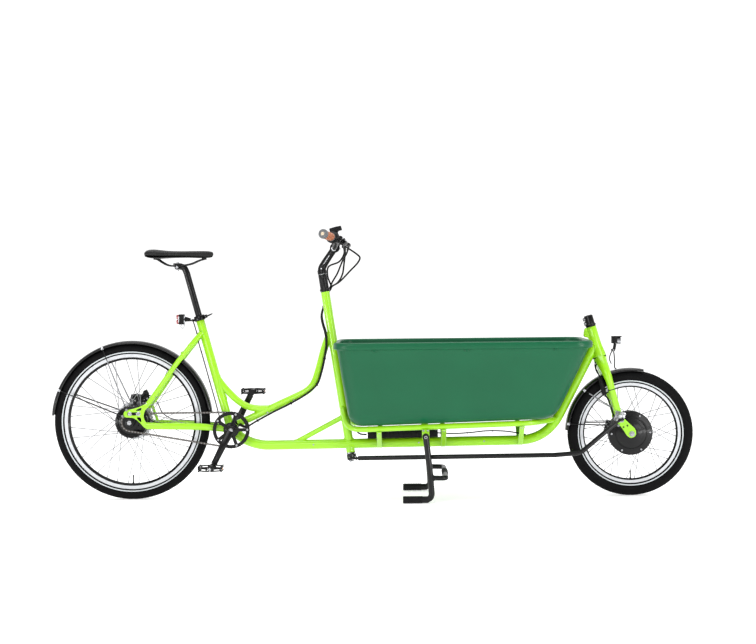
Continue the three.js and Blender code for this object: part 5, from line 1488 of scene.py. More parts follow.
def fork():
    b = Build()
    lathe(b, HEAD_FOOT, HEAD_DIR, [(0, -34), (15, -32), (22, -26), (26, -14), (27.8, -2), (27.2, -0.5),
                                   (14.6, -0.5), (14, 60), (14, 176), (12.6, 177.6), (0, 177.6)], 48)
    path = curve_through(LEG_PATH, 5)
    radii = []
    for i in range(len(path)):
        share = i / 5
        low = min(int(share), len(LEG_RADII) - 2)
        radii.append(LEG_RADII[low] + (LEG_RADII[low + 1] - LEG_RADII[low]) * (share - low))
    sweep(b, path, radii, 32, round_ends=4)
    crown = curve_through([(950, 6, 560), (956, 22, 542), (963, 38, 524), (971, 52, 505), (979, 60, 486)],
                          6)
    sweep(b, crown, [26.5 - 12.5 * i / (len(crown) - 1) for i in range(len(crown))], 32, round_ends=4)
    outline = [(1004, 338), (1012, 344), (1026, 338), (1040, 322), (1062, 300), (1080, 284), (1087, 272),
               (1087, 256), (1081, 247), (1070, 242.6), (1060, 244), (1050, 252), (1040, 268), (1026, 288),
               (1010, 306), (1002, 322)]
    plate(b, outline, 50.5, 57.8)
    rod(b, (1019, 68, 324), (1025, 54, 304), 9, 24)
    for x, z in ((1052, 293), (1036, 287)):
        bolt(b, (x, 57.6, z), (0, 1, 0), 3.6, 2.0, 1)
    b.mirrored()
    piece("fork_blades", b, [LIME, ANODISED], "fork", "fork", angle=40)
    ties = Build()
    for side in (-1, 1):
        for share in (18, 26):
            centre, after = path[share - 2], path[share - 1]
            middle = vec(centre.x, side * centre.y, centre.z)
            lean = vec(after.x - centre.x, side * (after.y - centre.y), after.z - centre.z)
            lathe(ties, middle, lean, [(13.8, 0), (15.2, 0.3), (15.2, 3.6), (13.8, 3.9)], 32)
            box(ties, middle + vec(-14, side * 3, -4), (5, 5, 6))
    piece("fork_cable_ties", ties, PLASTIC, "fork", angle=45)


def fork_clamp():
    base = on_axis(HEAD_TOP, HEAD_DIR, 0.8)
    b = Build()
    lathe(b, base, HEAD_DIR, [(14.3, 0), (21.4, 0), (22, 0.8), (22, 6.8), (21.2, 8), (19.4, 9.4),
                              (19, 10.6), (19, 40.6), (18, 42), (14.3, 42)], 48)
    side_dir = vec(HEAD_DIR.z, 0, -HEAD_DIR.x)
    turn = Matrix((side_dir, (0, 1, 0), HEAD_DIR)).transposed()
    for height in (14, 31.5):
        centre = on_axis(base, HEAD_DIR, height) - side_dir * 19.5
        for side in (-1, 1):
            box(b, centre + vec(0, side * 6.2, 0), (11, 8.4, 13), turn)
    piece("fork_clamp_body", b, ANODISED, "fork", "fork_clamp", bevel=0.9, angle=40)
    c = Build()
    for height in (14, 31.5):
        centre = on_axis(base, HEAD_DIR, height) - side_dir * 20.5
        bolt(c, centre + vec(0, -10.2, 0), (0, -1, 0), 4.4, 3.4)
        rod(c, centre + vec(0, -8, 0), centre + vec(0, 12.6, 0), 2.4, 12)
    lathe(c, on_axis(base, HEAD_DIR, 42.4), HEAD_DIR, [(0, 0), (17.2, 0), (17, 1.4), (14, 2.8), (5.4, 3.0),
            (4.6, 1.6), (0, 1.6)], 40, 1)
    piece("fork_clamp_bolts", c, [STEEL, ANODISED], "fork")


def steering_bracket():
    x, _, z = BALL_FRONT
    spin = tilt(0.27)
    b = Build()
    box(b, (x + 1, -83, z + 8), (40, 6.6, 40), spin)
    box(b, (x + 1, -79, z + 24), (36, 6, 6), spin)
    sweep(b, [(x, -80, z + 16), (x, -96, z + 15), (x, -114, z + 14), (x, -130, z + 14)],
          [11, 9.5, 8.6, 9.4], 24)
    lathe(b, on_axis(BALL_FRONT, HEAD_DIR, 6.4), HEAD_DIR, [(0, 0), (10, 0), (10.6, 1), (10.6, 13),
            (9, 14.6), (0, 14.6)], 32)
    piece("steering_bracket_plate", b, STEEL, "fork", "steering_bracket", bevel=1.4, angle=40)
    c = Build()
    rod(c, on_axis(BALL_FRONT, HEAD_DIR, -11), on_axis(BALL_FRONT, HEAD_DIR, 19), 5, 20)
    lathe(c, on_axis(BALL_FRONT, HEAD_DIR, -5.6), -HEAD_DIR, [(0, 0), (8, 0), (8.6, 0.8), (8.6, 5), (0, 5)],
          6)
    for dx in (-13, 13):
        for dz in (-13, 13):
            offset = spin @ vec(dx, 0, dz)
            bolt(c, vec(x + 1, -86.2, z + 8) + offset, (0, -1, 0), 4.2, 3)
    for dz in (-13, 13):
        offset = spin @ vec(0, 0, dz)
        centre = vec(x + 1, -64, z + 8) + offset
        ring = [centre + vec(15.4 * math.cos(a) * 1.02, 15.4 * math.sin(a), 0)
                for a in (math.pi * (1 + k / 16) * -1 for k in range(17))]
        sweep(c, [ring[0] + vec(0, -18, 0)] + ring + [ring[-1] + vec(0, -18, 0)], 2.4, 12)
    piece("steering_bracket_bolts", c, STEEL, "fork")


def rod_end(b, ball, axis, bore, toward, slot):
    """An eye round a ball, with its shank and lock nut."""
    lathe(b, on_axis(ball, axis, -5), axis, [(bore, 0.6), (10.8, 0), (12.3, 1.4), (12.5, 5), (12.3, 8.6),
            (10.8, 10), (bore, 9.4)], 36, slot)
    direction = (Vector(toward) - ball).normalized()
    rod(b, ball + direction * 11, ball + direction * 38, 5, 20, slot)
    lathe(b, ball + direction * 22, direction, [(5, 0), (8.2, 0.8), (8.2, 5.6), (5, 6.4)], 6, slot)


def tie_rod():
    b = Build()
    start = BALL_REAR + vec(34, -2, 1)
    end = BALL_FRONT + vec(-24, -8, -15)
    path = bent([start, (742, -176, 188), (846, -178, 196), end], 60, 10)
    sweep(b, path, 9.5, 28, round_ends=2.0)
    rod_end(b, BALL_REAR, COLUMN_DIR, 5.4, start, 1)
    rod_end(b, BALL_FRONT, HEAD_DIR, 8, end, 1)
    piece("tie_rod_tube", b, [BLACK, ANODISED], "tie_rod", "tie_rod", angle=40)


def column_arm():
    base = on_axis(COLUMN_FOOT, COLUMN_DIR, -17)
    b = Build()
    lathe(b, base, COLUMN_DIR, [(10.4, 0), (19, 0), (20, 1), (20, 12), (19, 13), (10.4, 13)], 40)
    tip = vec(BALL_REAR.x, BALL_REAR.y, 190)
    root = vec(base.x, -15, base.z + 6.6)
    sweep(b, [root, root.lerp(tip, 0.3), root.lerp(tip, 0.7), tip], [7.6, 6.8, 6.2, 6.4], 24, round_ends=2)
    lathe(b, on_axis(BALL_REAR, COLUMN_DIR, 6.4), COLUMN_DIR,
          [(0, 0), (9, 0), (9.6, 1), (9.6, 12.6), (8.4, 14), (0, 14)], 32)
    box(b, base + vec(-4, 16, 6.5), (14, 14, 11))
    piece("column_arm_body", b, BLACK, "steering_column", "column_arm", bevel=0.8, angle=40)
    c = Build()
    rod(c, on_axis(BALL_REAR, COLUMN_DIR, -14), on_axis(BALL_REAR, COLUMN_DIR, 21), 5, 20)
    lathe(c, on_axis(BALL_REAR, COLUMN_DIR, -5.8), -COLUMN_DIR,
          [(0, 0), (8, 0), (8.4, 0.8), (8.4, 5), (0, 5)], 6)
    lathe(c, on_axis(BALL_REAR, COLUMN_DIR, 20), COLUMN_DIR, [(0, 0), (8, 0), (8, 4), (7, 5), (0, 5)], 6)
    bolt(c, base + vec(-11, 17, 6.5), (-1, 0, 0), 4, 3)
    bolt(c, on_axis(COLUMN_FOOT, COLUMN_DIR, -30), -COLUMN_DIR, 7.6, 4.6)
    piece("column_arm_bolts", c, STEEL, "steering_column")


fork()
fork_clamp()
steering_bracket()
tie_rod()
column_arm()

# ---------------------------------------------------------------- seatpost and saddle

POST_TOP = on_axis(SEAT_TOP, SEAT_DIR, 205)
SADDLE_CLAMP = vec(-796, 0, 968)


def seatpost():
    b = Build()
    path = [on_axis(SEAT_TOP, SEAT_DIR, -90), on_axis(POST_TOP, SEAT_DIR, -30)]
    path += curve_through([on_axis(POST_TOP, SEAT_DIR, -24), on_axis(POST_TOP, SEAT_DIR, -10),
                           (-771, 0, 960.5), (-788, 0, 965)], 6)
    sweep(b, path, [13.6] * (len(path) - 6) + [13.6, 13.5, 13.3, 13, 12.6, 12.2], 40)
    lathe(b, SADDLE_CLAMP + vec(0, 0, -6), (0, 1, 0), [(0, -27), (9, -27), (10, -26), (10, 26), (9, 27),
            (0, 27)], 36)
    for side in (-1, 1):
        box(b, SADDLE_CLAMP + vec(0, side * 22, -1), (30, 10, 6))
        box(b, SADDLE_CLAMP + vec(0, side * 22, 7.4), (30, 11, 6.4))
    box(b, SADDLE_CLAMP + vec(0, 0, 9), (24, 46, 4.6))
    piece("seatpost_tube", b, ANODISED, "seat", "seatpost", bevel=0.9, angle=42)
    marks = Build()
    for k in range(5):
        lathe(marks, on_axis(SEAT_TOP, SEAT_DIR, -28 - 12 * k), SEAT_DIR,
              [(13.4, 0), (13.7, 0.2), (13.7, 0.8), (13.4, 1)], 40)
    bolt(marks, SADDLE_CLAMP + vec(0, 0, 11.2), (0, 0, 1), 5, 4)
    bolt(marks, SADDLE_CLAMP + vec(0, 0, -15.8), (0, 0, -1), 4.6, 4, socket=False)
    for side in (-1, 1):
        lathe(marks, SADDLE_CLAMP + vec(0, side * 26.8, -6), (0, side, 0),
              [(0, 0), (6, 0), (5.4, 1.4), (0, 1.4)], 24)
    piece("seatpost_marks", marks, STEEL, "seat")


def saddle_rails():
    b = Build()
    half = [(-884, -30, 998), (-876, -28, 995), (-860, -24.5, 984), (-840, -22, 973), (-822, -22, 968.6),
            (-796, -22, 968.6), (-770, -22, 970), (-738, -20, 976), (-704, -13, 990), (-684, -5, 995)]
    full = half + [(x, -y, z) for x, y, z in reversed(half)]
    sweep(b, curve_through(full, 6), 3.5, 20)
    piece("saddle_rail_pair", b, BLACK, "seat", "saddle_rails")


SADDLE_ROWS = [(-929.5, 46, 1012, 1023), (-925, 60, 1008, 1030), (-914, 70, 1004, 1036),
               (-896, 75, 1001, 1038.5), (-872, 74.5, 1000, 1036.5), (-848, 69, 1001, 1033),
               (-826, 60, 1002, 1031), (-804, 48, 1003, 1030), (-780, 37, 1003, 1029.5),
               (-756, 30, 1003, 1029.5), (-730, 25, 1002, 1029.5), (-704, 22, 1001, 1029.5),
               (-680, 19.5, 1001, 1029), (-662, 17, 1002, 1027.5), (-652, 13, 1005, 1025),
               (-647.5, 7.5, 1010, 1020.5)]


def saddle_ring(x, half, low, high):
    """One section: a crowned top with a shallow middle channel, rounded shoulders and a tucked skirt."""
    ring = []
    middle = low + (high - low) * 0.42
    count = 40
    for i in range(count):
        a = 2 * math.pi * i / count
        c, s = math.cos(a), math.sin(a)
        y = half * math.copysign(abs(c) ** 0.78, c)
        if s >= 0:
            z = middle + (high - middle) * abs(s) ** 0.62
            centre = math.exp(-((y / max(half * 0.2, 3)) ** 2))
            ends = max(0.0, 1 - abs((x + 800) / 120) ** 2)
            z -= 4.6 * centre * ends
        else:
            z = middle - (middle - low) * abs(s) ** 0.75
            y *= 1 - 0.14 * abs(s)
        ring.append((x, y, z))
    return ring


def saddle():
    b = Build()
    rows = [saddle_ring(*row) for row in SADDLE_ROWS]
    skin(b, rows)
    cushion = piece("saddle_cushion", b, COVER, "seat", "saddle", smooth=1)
    seams = Build()
    for side in (1, -1):
        for at in (3, 6):
            index = at if side > 0 else len(rows[0]) // 2 - at
            line = [Vector(row[index]) for row in rows[1:-1]]
            line = [p + vec(0, side * 0.2, 0.15) for p in curve_through(line, 5)]
            run = 0.0
            for a, c in zip(line, line[1:]):
                run += (c - a).length
                if run > 4.6:
                    run = 0.0
                    lean = (c - a).normalized()
                    sweep(seams, [a, a + lean * 1.6, a + lean * 3.0], [0.35, 0.6, 0.35], 6)
    piece("saddle_stitches", seams, THREAD, "seat")
    base = Build()
    skin(base, [saddle_ring(x, half - 5, low - 1.6, low + 5) for x, half, low, _ in SADDLE_ROWS[1:-1]])
    for side in (-1, 1):
        box(base, (-882, side * 29, 998.5), (18, 16, 9))
    box(base, (-686, 0, 996.5), (18, 20, 8))
    piece("saddle_base", base, PLASTIC, "seat", bevel=1.0, angle=60)


def seat_clamp():
    b = Build()
    base = on_axis(SEAT_TOP, SEAT_DIR, -9)
    lathe(b, base, SEAT_DIR, [(17.9, 0), (22, 0), (23, 1), (23, 18), (21.6, 21), (18, 22), (14.3, 22),
                              (14.3, 9.6), (17.9, 9.4)], 48)
    x, _, z = on_axis(SEAT_TOP, SEAT_DIR, 2)
    for side in (-1, 1):
        box(b, (x + 26, side * 5.2, z + 7), (13, 6.4, 14), tilt(-0.25))
    piece("seat_clamp_ring", b, ANODISED, "frame", "seat_clamp", bevel=1.2, angle=42)
    c = Build()
    px, pz = x + 28, 757
    rod(c, (px, -17.4, pz), (px, 12, pz), 2.6, 16, 1)
    lathe(c, (px, -17, pz), (0, 1, 0), [(0, 0), (5.2, 0), (6, 0.8), (6, 7.6), (5.2, 8.4), (0, 8.4)], 28)
    path = curve_through([(px, -13, pz), (px + 14, -16, pz + 6), (px + 20, -6, pz + 9),
                          (px + 20.5, 12, pz + 10), (px + 20, 26, pz + 10)], 6)
    sweep(c, path, [5.4] * 10 + [5.0] * (len(path) - 13) + [4.8, 4.4, 3.8], 20, across=0.62, round_ends=1.2)
    piece("clamp_lever_blade", c, [ANODISED, STEEL], "clamp_lever", "seat_clamp_lever", angle=42)


def rear_light():
    """A lamp with two round lenses on a tapered bracket, with a loop of lead below."""
    b = Build()
    box(b, (-782, 0, 746), (20, 34, 42), tilt(0.02))
    for rise in (-10, 10):
        lathe(b, (-792, 0, 746 + rise), (-1, 0, 0), [(0, -4), (10.6, -4), (10.6, 2), (9.4, 3), (0, 3)], 32)
    sweep(b, [(-776, 0, 747), (-760, 0, 746), (-744, 0, 743.4), (-729, 0, 741)], [15, 11.5, 7.6, 5.2], 24,
          across=0.8)
    piece("rear_light_case", b, PLASTIC, "frame", "rear_light", bevel=2.4, segments=3, angle=42)
    c = Build()
    for rise in (-10, 10):
        lathe(c, (-794, 0, 746 + rise), (-1, 0, 0), [(0, -1), (9.4, -1), (9.4, 8), (8, 10), (0, 11)], 32)
    piece("rear_light_lens", c, RED_LENS, "frame")
    d = Build()
    lathe(d, (-783, 0, 746), (-0.02, 0, 1), [(18.4, -13), (18.9, -13), (18.9, 13), (18.4, 13)], 4)
    for x, rise in ((-771, 9), (-771, -9), (-741, 0)):
        bolt(d, (x, -12.6 if rise else -5.6, 746 + rise), (0, -1, 0), 3.4, 3)
    loop = curve_through([(-778, -14, 728), (-784, -18, 717), (-778, -19, 708), (-771, -17, 717),
                          (-768, -12, 734)], 8)
    sweep(d, loop, 2.4, 14)
    piece("rear_light_bolts", d, [ALLOY], "frame")


seatpost()
saddle_rails()
saddle()
seat_clamp()
rear_light()

# ---------------------------------------------------------------- rider's controls

BAR_CENTRE = vec(-143, 0, 1036)
GRIP_START = vec(-128, 150, 1068)
GRIP_END = vec(-176, 310, 1085)
GRIP_LAST = 300
LEVER_AT = 169
DISPLAY = vec(-148, 110, 1116)
BAR_RADIUS = 11.1


def grip_point(side, distance):
    share = (distance - GRIP_START.y) / (GRIP_END.y - GRIP_START.y)
    p = GRIP_START.lerp(GRIP_END, share)
    return vec(p.x, -side * distance, p.z)


def handlebar():
    b = Build()
    x, _, z = BAR_CENTRE
    half = [(x, 0, z), (x, 24, z), (x + 2, 52, z + 3), (x + 8, 78, z + 16), (x + 13, 104, z + 27),
            (x + 14.5, 128, z + 31.4)]
    half = curve_through(half, 6) + [GRIP_START, GRIP_END - vec(0.6, -2, -0.2).normalized() * 0.5]
    path = [vec(p.x, -p.y, p.z) for p in reversed(half[1:])] + half
    sweep(b, path, BAR_RADIUS, 32)
    piece("handlebar_tube", b, ANODISED, "steering_column", "handlebar", angle=50)


def column_shaft():
    b = Build()
    rod(b, on_axis(COLUMN_FOOT, COLUMN_DIR, -22), on_axis(COLUMN_TOP, COLUMN_DIR, 60), 12.8, 28)
    lathe(b, on_axis(COLUMN_TOP, COLUMN_DIR, 0.7), COLUMN_DIR,
          [(13, 0), (20.4, 0), (21, 0.8), (21, 7), (20, 8.6), (18.4, 9.6), (18, 11), (18, 29), (17.5, 29.5),
           (18, 30), (18, 49), (17.5, 49.5), (18, 50), (18, 67), (17.4, 68.4), (13, 68.4)], 44)
    piece("column_spacers", b, BLACK, "steering_column", "column_shaft", angle=32)
    c = Build()
    lathe(c, on_axis(COLUMN_TOP, COLUMN_DIR, 69.1), COLUMN_DIR,
          [(13, 0), (18.8, 0), (19.4, 0.9), (18.8, 1.8), (13, 1.8)], 44)
    piece("column_bright_ring", c, STEEL, "steering_column")


def stem():
    """A stem that rises from the column and turns forward, with a bright slot down each side."""
    low = on_axis(COLUMN_TOP, COLUMN_DIR, 71)
    b = Build()
    lathe(b, low, COLUMN_DIR, [(13.8, 0), (18.2, 0), (18.8, 0.6), (18.8, 14), (18.2, 16), (13.8, 16)], 44)
    path = curve_through([on_axis(low, COLUMN_DIR, 4), on_axis(low, COLUMN_DIR, 12), (-197, 0, 953),
                          (-188, 0, 970), (-171, 0, 996), (-151, 0, 1025)], 6)
    sweep(b, path, [18 - 3.4 * min(1, i / 26) for i in range(len(path))], 32)
    lathe(b, BAR_CENTRE, (0, 1, 0), [(11.3, -23), (19, -23), (20, -22), (20, 22), (19, 23), (11.3, 23)], 48)
    lathe(b, (-199.5, 0, 950), (0, 1, 0), [(0, -17.6), (10, -17.6), (11, -16.6), (11, 16.6), (10, 17.6),
                                           (0, 17.6)], 36)
    piece("stem_body", b, ANODISED, "steering_column", "stem", angle=40)
    c = Build()
    for side in (-1, 1):
        lathe(c, BAR_CENTRE + vec(-3, side * 22.6, -3), (0, side, 0),
              [(0, 0), (11, 0), (11.4, 0.6), (10.6, 2.4), (5, 3), (4.4, 2), (0, 2)], 36)
        bolt(c, (-199.5, side * 17.6, 950), (0, side, 0), 3.4, 1.6)
        slit = [(-190, side * 15.6, 968.6), (-176, side * 15.2, 990), (-166, side * 14.8, 1005)]
        sweep(c, slit, [1.2, 2.0, 1.2], 10, round_ends=0.6)
    for k in (-1, 1):
        bolt(c, BAR_CENTRE + vec(13.5 - k * 6.5, 0, k * 12.5 + 7), (0.62, 0, 0.78), 4.4, 4)
    piece("stem_bolts", c, ALLOY, "steering_column")


def along_grip(side, start, end):
    first, last = grip_point(side, start), grip_point(side, end)
    return first, (last - first)


def grip(side, start, name):
    """A leather-look grip with a palm wing, raised rings and a capped end; a beige disc on the cap's tip is
    a painted highlight.
    """
    first, run = along_grip(side, start, GRIP_LAST)
    direction = run.normalized()
    b = Build()
    rows, sides = 26, 36
    rings = []
    down = vec(-0.72, 0, -0.35)
    down = (down - direction * down.dot(direction)).normalized()
    up = direction.cross(down)
    for r in range(rows + 1):
        share = r / rows
        radius = 15.2 + 1.0 * math.sin(math.pi * share)
        if 0 < r < rows and r % 3 == 0:
            radius -= 0.5
        if r in (0, rows):
            radius -= 1.2
        wing = 7.5 * math.sin(math.pi * min(1.0, share * 0.62 + 0.30)) ** 2 * (0.4 + 0.6 * share)
        rings.append([])
        for i in range(sides):
            a = 2 * math.pi * i / sides
            reach = radius + wing * max(0.0, math.cos(a)) ** 3
            rings[-1].append(first + run * share + down * (math.cos(a) * reach)
                             + up * (math.sin(a) * radius))
    skin(b, rings)
    piece(name + "_leather", b, TAN, "steering_column", name, angle=50)
    c = Build()
    lathe(c, first, direction, [(11.6, -2.6), (16.6, -2.6), (17.2, -1.8), (17.2, 1.0), (11.6, 1.0)], 40)
    end = grip_point(side, GRIP_LAST)
    lathe(c, end, direction, [(11.6, -1), (18.6, -1), (19.4, 1), (19.4, 9), (18, 13), (14, 15), (0, 15)],
          44)
    # A beige disc on the tip of the end cap: a painted highlight, not a part of the grip.
    lathe(c, end, direction, [(0, 14.6), (7, 14.6), (7, 15.6), (6, 16.2), (0, 16.2)], 36, 1)
    piece(name + "_end", c, [GREY, BEIGE_THREAD_AND_HIGHLIGHT], "steering_column")
    seam = Build()
    for k in range(22):
        a = first + run * (0.04 + 0.92 * k / 22) - down * 15.6
        sweep(seam, [a, a + direction * 1.3, a + direction * 2.4], [0.35, 0.6, 0.35], 6)
    piece(name + "_stitches", seam, BEIGE_THREAD_AND_HIGHLIGHT, "steering_column")


def shifter():
    first, run = along_grip(1, 184, 213)
    length, direction = run.length, run.normalized()
    b = Build()
    lathe(b, first, direction, [(11.6, 0.4), (20, 0.4), (23, 2), (23.6, 4), (23.6, length - 9),
                                (22, length - 6), (19, length - 3), (18, length - 0.6),
                                (11.6, length - 0.6)], 48)
    u = direction.orthogonal().normalized()
    v = direction.cross(u)
    for k in range(30):
        a = 2 * math.pi * k / 30
        out = u * math.cos(a) + v * math.sin(a)
        sweep(b, [first + direction * 3 + out * 23, first + direction * 5 + out * 23.5,
                  first + direction * (length - 10) + out * 23.5,
                  first + direction * (length - 7) + out * 21.8], [0.4, 0.9, 0.9, 0.4], 6)
    piece("shifter_twist", b, PLASTIC, "shifter", "shifter_ring", angle=40)


def brake_control(side, name, lever_body):
    place = grip_point(side, LEVER_AT)
    first, run = along_grip(side, LEVER_AT - 9, LEVER_AT + 9)
    pivot = place + vec(30, -side * 2, -12)
    b = Build()
    lathe(b, first, run, [(11.5, 0), (15.4, 0), (16, 0.8), (16, run.length - 0.8), (15.4, run.length),
                          (11.5, run.length)], 40)
    box(b, place + vec(14, 0, -7), (12, 16, 23), tilt(0.35))
    for half in (-1, 1):
        box(b, place + vec(26, -side * 2, -10 + half * 8.2), (23, 17, 3.6), tilt(0.35))
    reservoir = place + vec(20, side * 14, 1)
    sweep(b, [reservoir + vec(0, side * -6, 0), reservoir + vec(0, side * 12, 1),
              reservoir + vec(2, side * 30, 2)], [9.5, 10, 7.4], 28, round_ends=2)
    piece(f"brake_body_{name}", b, ANODISED, "steering_column", f"brake_bracket_{name}", bevel=1.0,
          angle=42)
    c = Build()
    bolt(c, pivot + vec(0, 0, 11.6), (0, 0, 1), 4.2, 1.8)
    bolt(c, place + vec(-13, -side * 1, -7), (-1, 0, -0.2), 3.6, 3)
    lathe(c, reservoir + vec(2, side * 33, 2), (0, side, 0.1),
          [(0, -2), (4.6, -2), (4.6, 3), (3, 4), (0, 4)], 6)
    piece(f"brake_bolts_{name}", c, STEEL, "steering_column")
    d = Build()
    x, y, z = pivot
    path = curve_through([(x, y, z), (x + 13, y - side * 14, z - 4), (x + 16, y - side * 34, z - 9),
                          (x + 8, y - side * 62, z - 16), (x + 2, y - side * 84, z - 24)], 6)
    sweep(d, path, [6.6 - 0.05 * i for i in range(len(path))], 24, across=0.62, round_ends=1.6,
          up=(0, 0, 1))
    lathe(d, (x, y, z - 4.8), (0, 0, 1), [(0, 0), (6.4, 0), (7, 0.6), (7, 9), (6.4, 9.6), (0, 9.6)], 32)
    piece(f"lever_blade_{name}", d, ANODISED, lever_body, f"brake_lever_{name}", angle=45)


def display():
    turn = tilt(-0.25)
    b = Build()
    box(b, DISPLAY + vec(4, 0, 0), (50, 62, 18), turn)
    box(b, DISPLAY + vec(1, 0, -10.4), (28, 40, 8), turn)
    sweep(b, [(-131.6, 125.6, 1079), (-136, 123, 1090), (-144, 118, 1104)], [6.4, 5.8, 7.4], 20)
    lathe(b, (-129.4, 123, 1065.1), (-1.5, 46, 5), [(11.5, 0), (14.4, 0), (15, 0.7), (15, 8.3), (14.4, 9),
            (11.5, 9)], 36)
    piece("display_case", b, PLASTIC, "steering_column", "display", bevel=3.0, segments=3, angle=42)
    c = Build()
    box(c, DISPLAY + turn @ vec(3, 0, 8.3), (26, 46, 2.4), turn)
    piece("display_screen", c, SCREEN, "steering_column", bevel=0.8)
    d = Build()
    for k in (-1, 0, 1):
        box(d, DISPLAY + turn @ vec(-14, k * 15, 8.6), (6, 10, 2), turn)
    piece("display_buttons", d, GREY, "steering_column", bevel=0.8)


handlebar()
column_shaft()
stem()
grip(1, 216, "grip_right")
grip(-1, 192, "grip_left")
shifter()
brake_control(1, "right", "lever_right")
brake_control(-1, "left", "lever_left")
display()

# ---------------------------------------------------------------- lights, controller and cables


def headlight():
    b = Build()
    box(b, (1008, 0, 643), (22, 32, 27))
    box(b, (1017, 0, 657.5), (40, 34, 4))
    box(b, (1009, 0, 616), (11, 14, 26), tilt(0.18))
    box(b, (1003, 0, 602), (15, 12, 10))
    c = Build()
    sweep(b, curve_through([(1003, 0, 606), (1006, 0, 590), (1009, 0, 560), (1009.5, 0, 527),
                            (1016, 0, 525)], 5), 2.4, 14)
    piece("headlight_case", b, PLASTIC, "fork", "headlight", bevel=2.2, segments=3, angle=42)
    bolt(c, (1003, -6, 602), (0, -1, 0), 3.4, 2.6)
    lathe(c, (1030, 0, 641), (1, 0, 0), [(13, -12), (14.6, -11), (15.4, -2), (15.4, 3.2), (13.6, 3.4),
                                         (9, -1.4), (4, -3.4), (0, -3.8)], 40)
    piece("headlight_stay", c, STEEL, "fork", angle=40)
    d = Build()
    lathe(d, (1030.4, 0, 641), (1, 0, 0), [(0, 4.6), (8, 4.4), (13, 3.4), (14.4, 2.2), (14.4, 0.6),
                                           (0, 0.6)], 40)
    piece("headlight_lens", d, CLEAR_LENS, "fork", angle=50)


def control_box():
    """The motor controller under the tub: a flat case with cooling ribs along both sides."""
    centre = vec(130, 0, 264)
    turn = tilt(-0.016)
    b = Build()
    box(b, centre, (290, 94, 28), turn)
    for k in range(13):
        for y in (-47.6, 47.6):
            box(b, centre + turn @ vec(-120 + 20 * k, y, 0), (5, 4, 20), turn)
    piece("controller_case", b, PLASTIC, "frame", "control_box", bevel=2.4, segments=3, angle=42)
    c = Build()
    for dx in (-136, 136):
        for side in (-1, 1):
            bolt(c, centre + vec(dx, side * 40, 14.4 + 0.016 * dx), (0, 0, 1), 3.6, 2.2)
    piece("controller_screws", c, STEEL, "frame")


def cable(name, points, radius, body, ties=()):
    """A cable held on the frame along a smooth route, with ties round it."""
    b = Build()
    line = curve_through(points, 7)
    sweep(b, line, radius, 14)
    for share in ties:
        at = int(share * (len(line) - 2))
        lathe(b, line[at], line[at + 1] - line[at], [(radius - 0.4, -1.6), (radius + 1.1, -1.4),
                (radius + 1.1, 1.4), (radius - 0.4, 1.6)], 16)
    piece(name, b, CABLE, body)


BUNDLE = [(-172, 31, 862), (-180, 29, 825), (-194, 21, 790), (-201, 4, 757), (-195, -14, 722),
          (-184, -25, 685), (-181, -26, 640), (-190, -25, 580), (-204, -24, 520), (-222, -23, 472),
          (-262, -22, 436), (-330, -22, 396), (-400, -22, 362), (-470, -22, 325), (-520, -24, 300),
          (-547, -26, 311)]
FRAME_HOSE, CONTROL_HOSE = 3, 3.6
HOSE_OFFSETS = [(0, 0), (-2.8, 3.2), (1.6, 4.6), (2.4, 1.6)]


def frame_cables():
    for k, (dx, dy) in enumerate(HOSE_OFFSETS[:3]):
        b = Build()
        sweep(b, curve_through([(x + dx, y + dy, z + dx) for x, y, z in BUNDLE], 6), FRAME_HOSE, 14)
        hose = piece(f"frame_hose_{k + 1}", b, CABLE, "frame")
        if k == 0:
            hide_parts("frame_cable")
    ties = Build()
    for i in (1, 5, 7, 9, 11, 13):
        here, after = Vector(BUNDLE[i]), Vector(BUNDLE[i + 1])
        lathe(ties, here + vec(-0.7, 2.6, -0.5), after - here,
              [(5.8, -2), (7.2, -1.8), (7.2, 1.8), (5.8, 2)], 20)
    piece("frame_hose_ties", ties, PLASTIC, "frame")


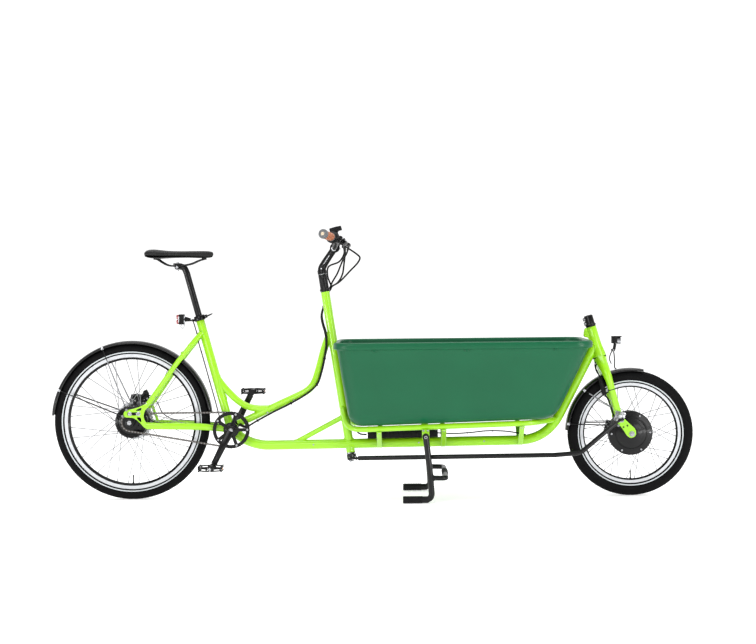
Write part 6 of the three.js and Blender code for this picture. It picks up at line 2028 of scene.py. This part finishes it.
def control_cables():
    """Hoses from the levers and the shifter, looping forward and back to the bundle beside the column."""
    routes = [[(-98, -140, 1047), (-96, -126, 1032), (-98, -102, 1004), (-104, -70, 965), (-112, -34, 926),
               (-134, 8, 892)], [(-100, 148, 1050), (-92, 120, 1044), (-96, 80, 1018), (-116, 46, 978),
                                 (-136, 38, 930), (-156, 32, 896)],
              [(-114, -206, 1050), (-86, -196, 1032), (-48, -166, 1006), (-36, -146, 992), (-44, -126, 974),
               (-78, -80, 940), (-124, -20, 896)], [(-148, 92, 1104), (-120, 66, 1062), (-106, 40, 1018),
            (-126, 26, 980), (-172, 27, 958), (-176, 28, 920)],]
    for k, (route, (dx, dy)) in enumerate(zip(routes, HOSE_OFFSETS)):
        b = Build()
        points = route + [(x + dx, y + dy, z) for x, y, z in ((-164, 30, 872), (-173, 30, 855),
                *BUNDLE[1:3])]
        sweep(b, curve_through(points, 9), CONTROL_HOSE, 14)
        hose = piece(f"control_hose_{k + 1}", b, CABLE, "steering_column")
        if k == 0:
            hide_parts("handlebar_cables")
        hose.parent = None
        del hose["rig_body"]
        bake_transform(hose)


def small_cables():
    cable("rear_light_lead", [(-738, -8, 744), (-732, -9, 732), (-725, -9, 708), (-719, -9, 686),
                              (-713, -8, 652), (-700, -8, 604), (-684, -8, 545), (-666, -8, 478),
                              (-645, -8, 400), (-632, -16, 352), (-622, -24, 318)], 2.3, "frame",
          ties=(0.3, 0.5, 0.7))
    cable("chainstay_hose", [(-935, -62, 372), (-920, -64, 352), (-906, -66, 334), (-884, -69, 324.6),
                             (-840, -64.6, 321.4), (-766, -54, 317), (-700, -41.6, 315), (-650, -35, 310),
                             (-618, -31, 309)], 2.2, "frame", ties=(0.45, 0.65, 0.85))
    cable("brake_hose_rear", [(-968, 55, 414), (-950, 60, 430), (-926, 66, 424), (-902, 74, 398),
                              (-880, 79, 352), (-840, 74, 327), (-760, 61, 320), (-690, 46, 316),
                              (-640, 38, 310)], 2.2, "frame", ties=(0.5, 0.7))
    cable("under_tub_lead", [(276, 30, 262), (330, 34, 258), (410, 30, 262), (480, 16, 270), (560, 10, 268),
                             (640, 10, 254)], 2.6, "frame", ties=(0.4, 0.7))
    cable("controller_lead", [(-20, -20, 262), (-46, -26, 266), (-62, -30, 280), (-70, -30, 300)], 3.2,
          "frame")
    cable("headlight_lead", [(1003, -4, 604), (992, -8, 588), (986, -16, 566), (992, -22, 546)], 2.2,
          "fork")
    b = Build()
    for x, y, z in ((-4, -20, 262), (10, -34, 262), (2, 30, 263)):
        lathe(b, (x, y, z), (-1, 0, 0.02), [(0, -14), (6.4, -14), (6.4, -6), (5.2, -4), (5.2, 8), (4, 10),
                                            (0, 10)], 20)
    piece("controller_plugs", b, PLASTIC, "frame")


def fork_cable():
    b = Build()
    turn = tilt(-0.25)
    box(b, (952, -43, 455), (18, 14.6, 74), turn)
    box(b, (952, -50.6, 455), (11, 3, 58), turn)
    sweep(b, curve_through([(960, -44, 426), (963, -44, 420), (975, -42, 402), (986, -41, 372),
                            (1000, -42, 330), (1028, -44, 284), (1048, -45, 262)], 6), 3.4, 18)
    piece("fork_cable_box", b, PLASTIC, "fork", "fork_cable", bevel=1.4, angle=42)
    lead = Build()
    sweep(lead, curve_through([(943, -43, 490), (934, -40, 512), (926, -34, 534), (936, -28, 552)], 7), 2.8,
          16)
    sweep(lead, curve_through([(946, -38, 490), (928, -31, 520), (925, -26, 548), (936, -22, 562)], 7), 2.2,
          16)
    piece("motor_lead", lead, CABLE, "fork")


headlight()
control_box()
frame_cables()
control_cables()
small_cables()
fork_cable()

# ---------------------------------------------------------------- CAD nodes that still show


def finish_cad_nodes():
    """Gives each CAD node that isn't replaced the node material of its slot."""
    slot_of = {row["node"]: row["material_slot"] for row in frame["record"]["subparts"]}
    for name, obj in frame["nodes"].items():
        if obj.hide_render:
            continue
        material = SLOT_MATERIAL[slot_of[name]]
        obj.data.materials.clear()
        obj.data.materials.append(material)


finish_cad_nodes()
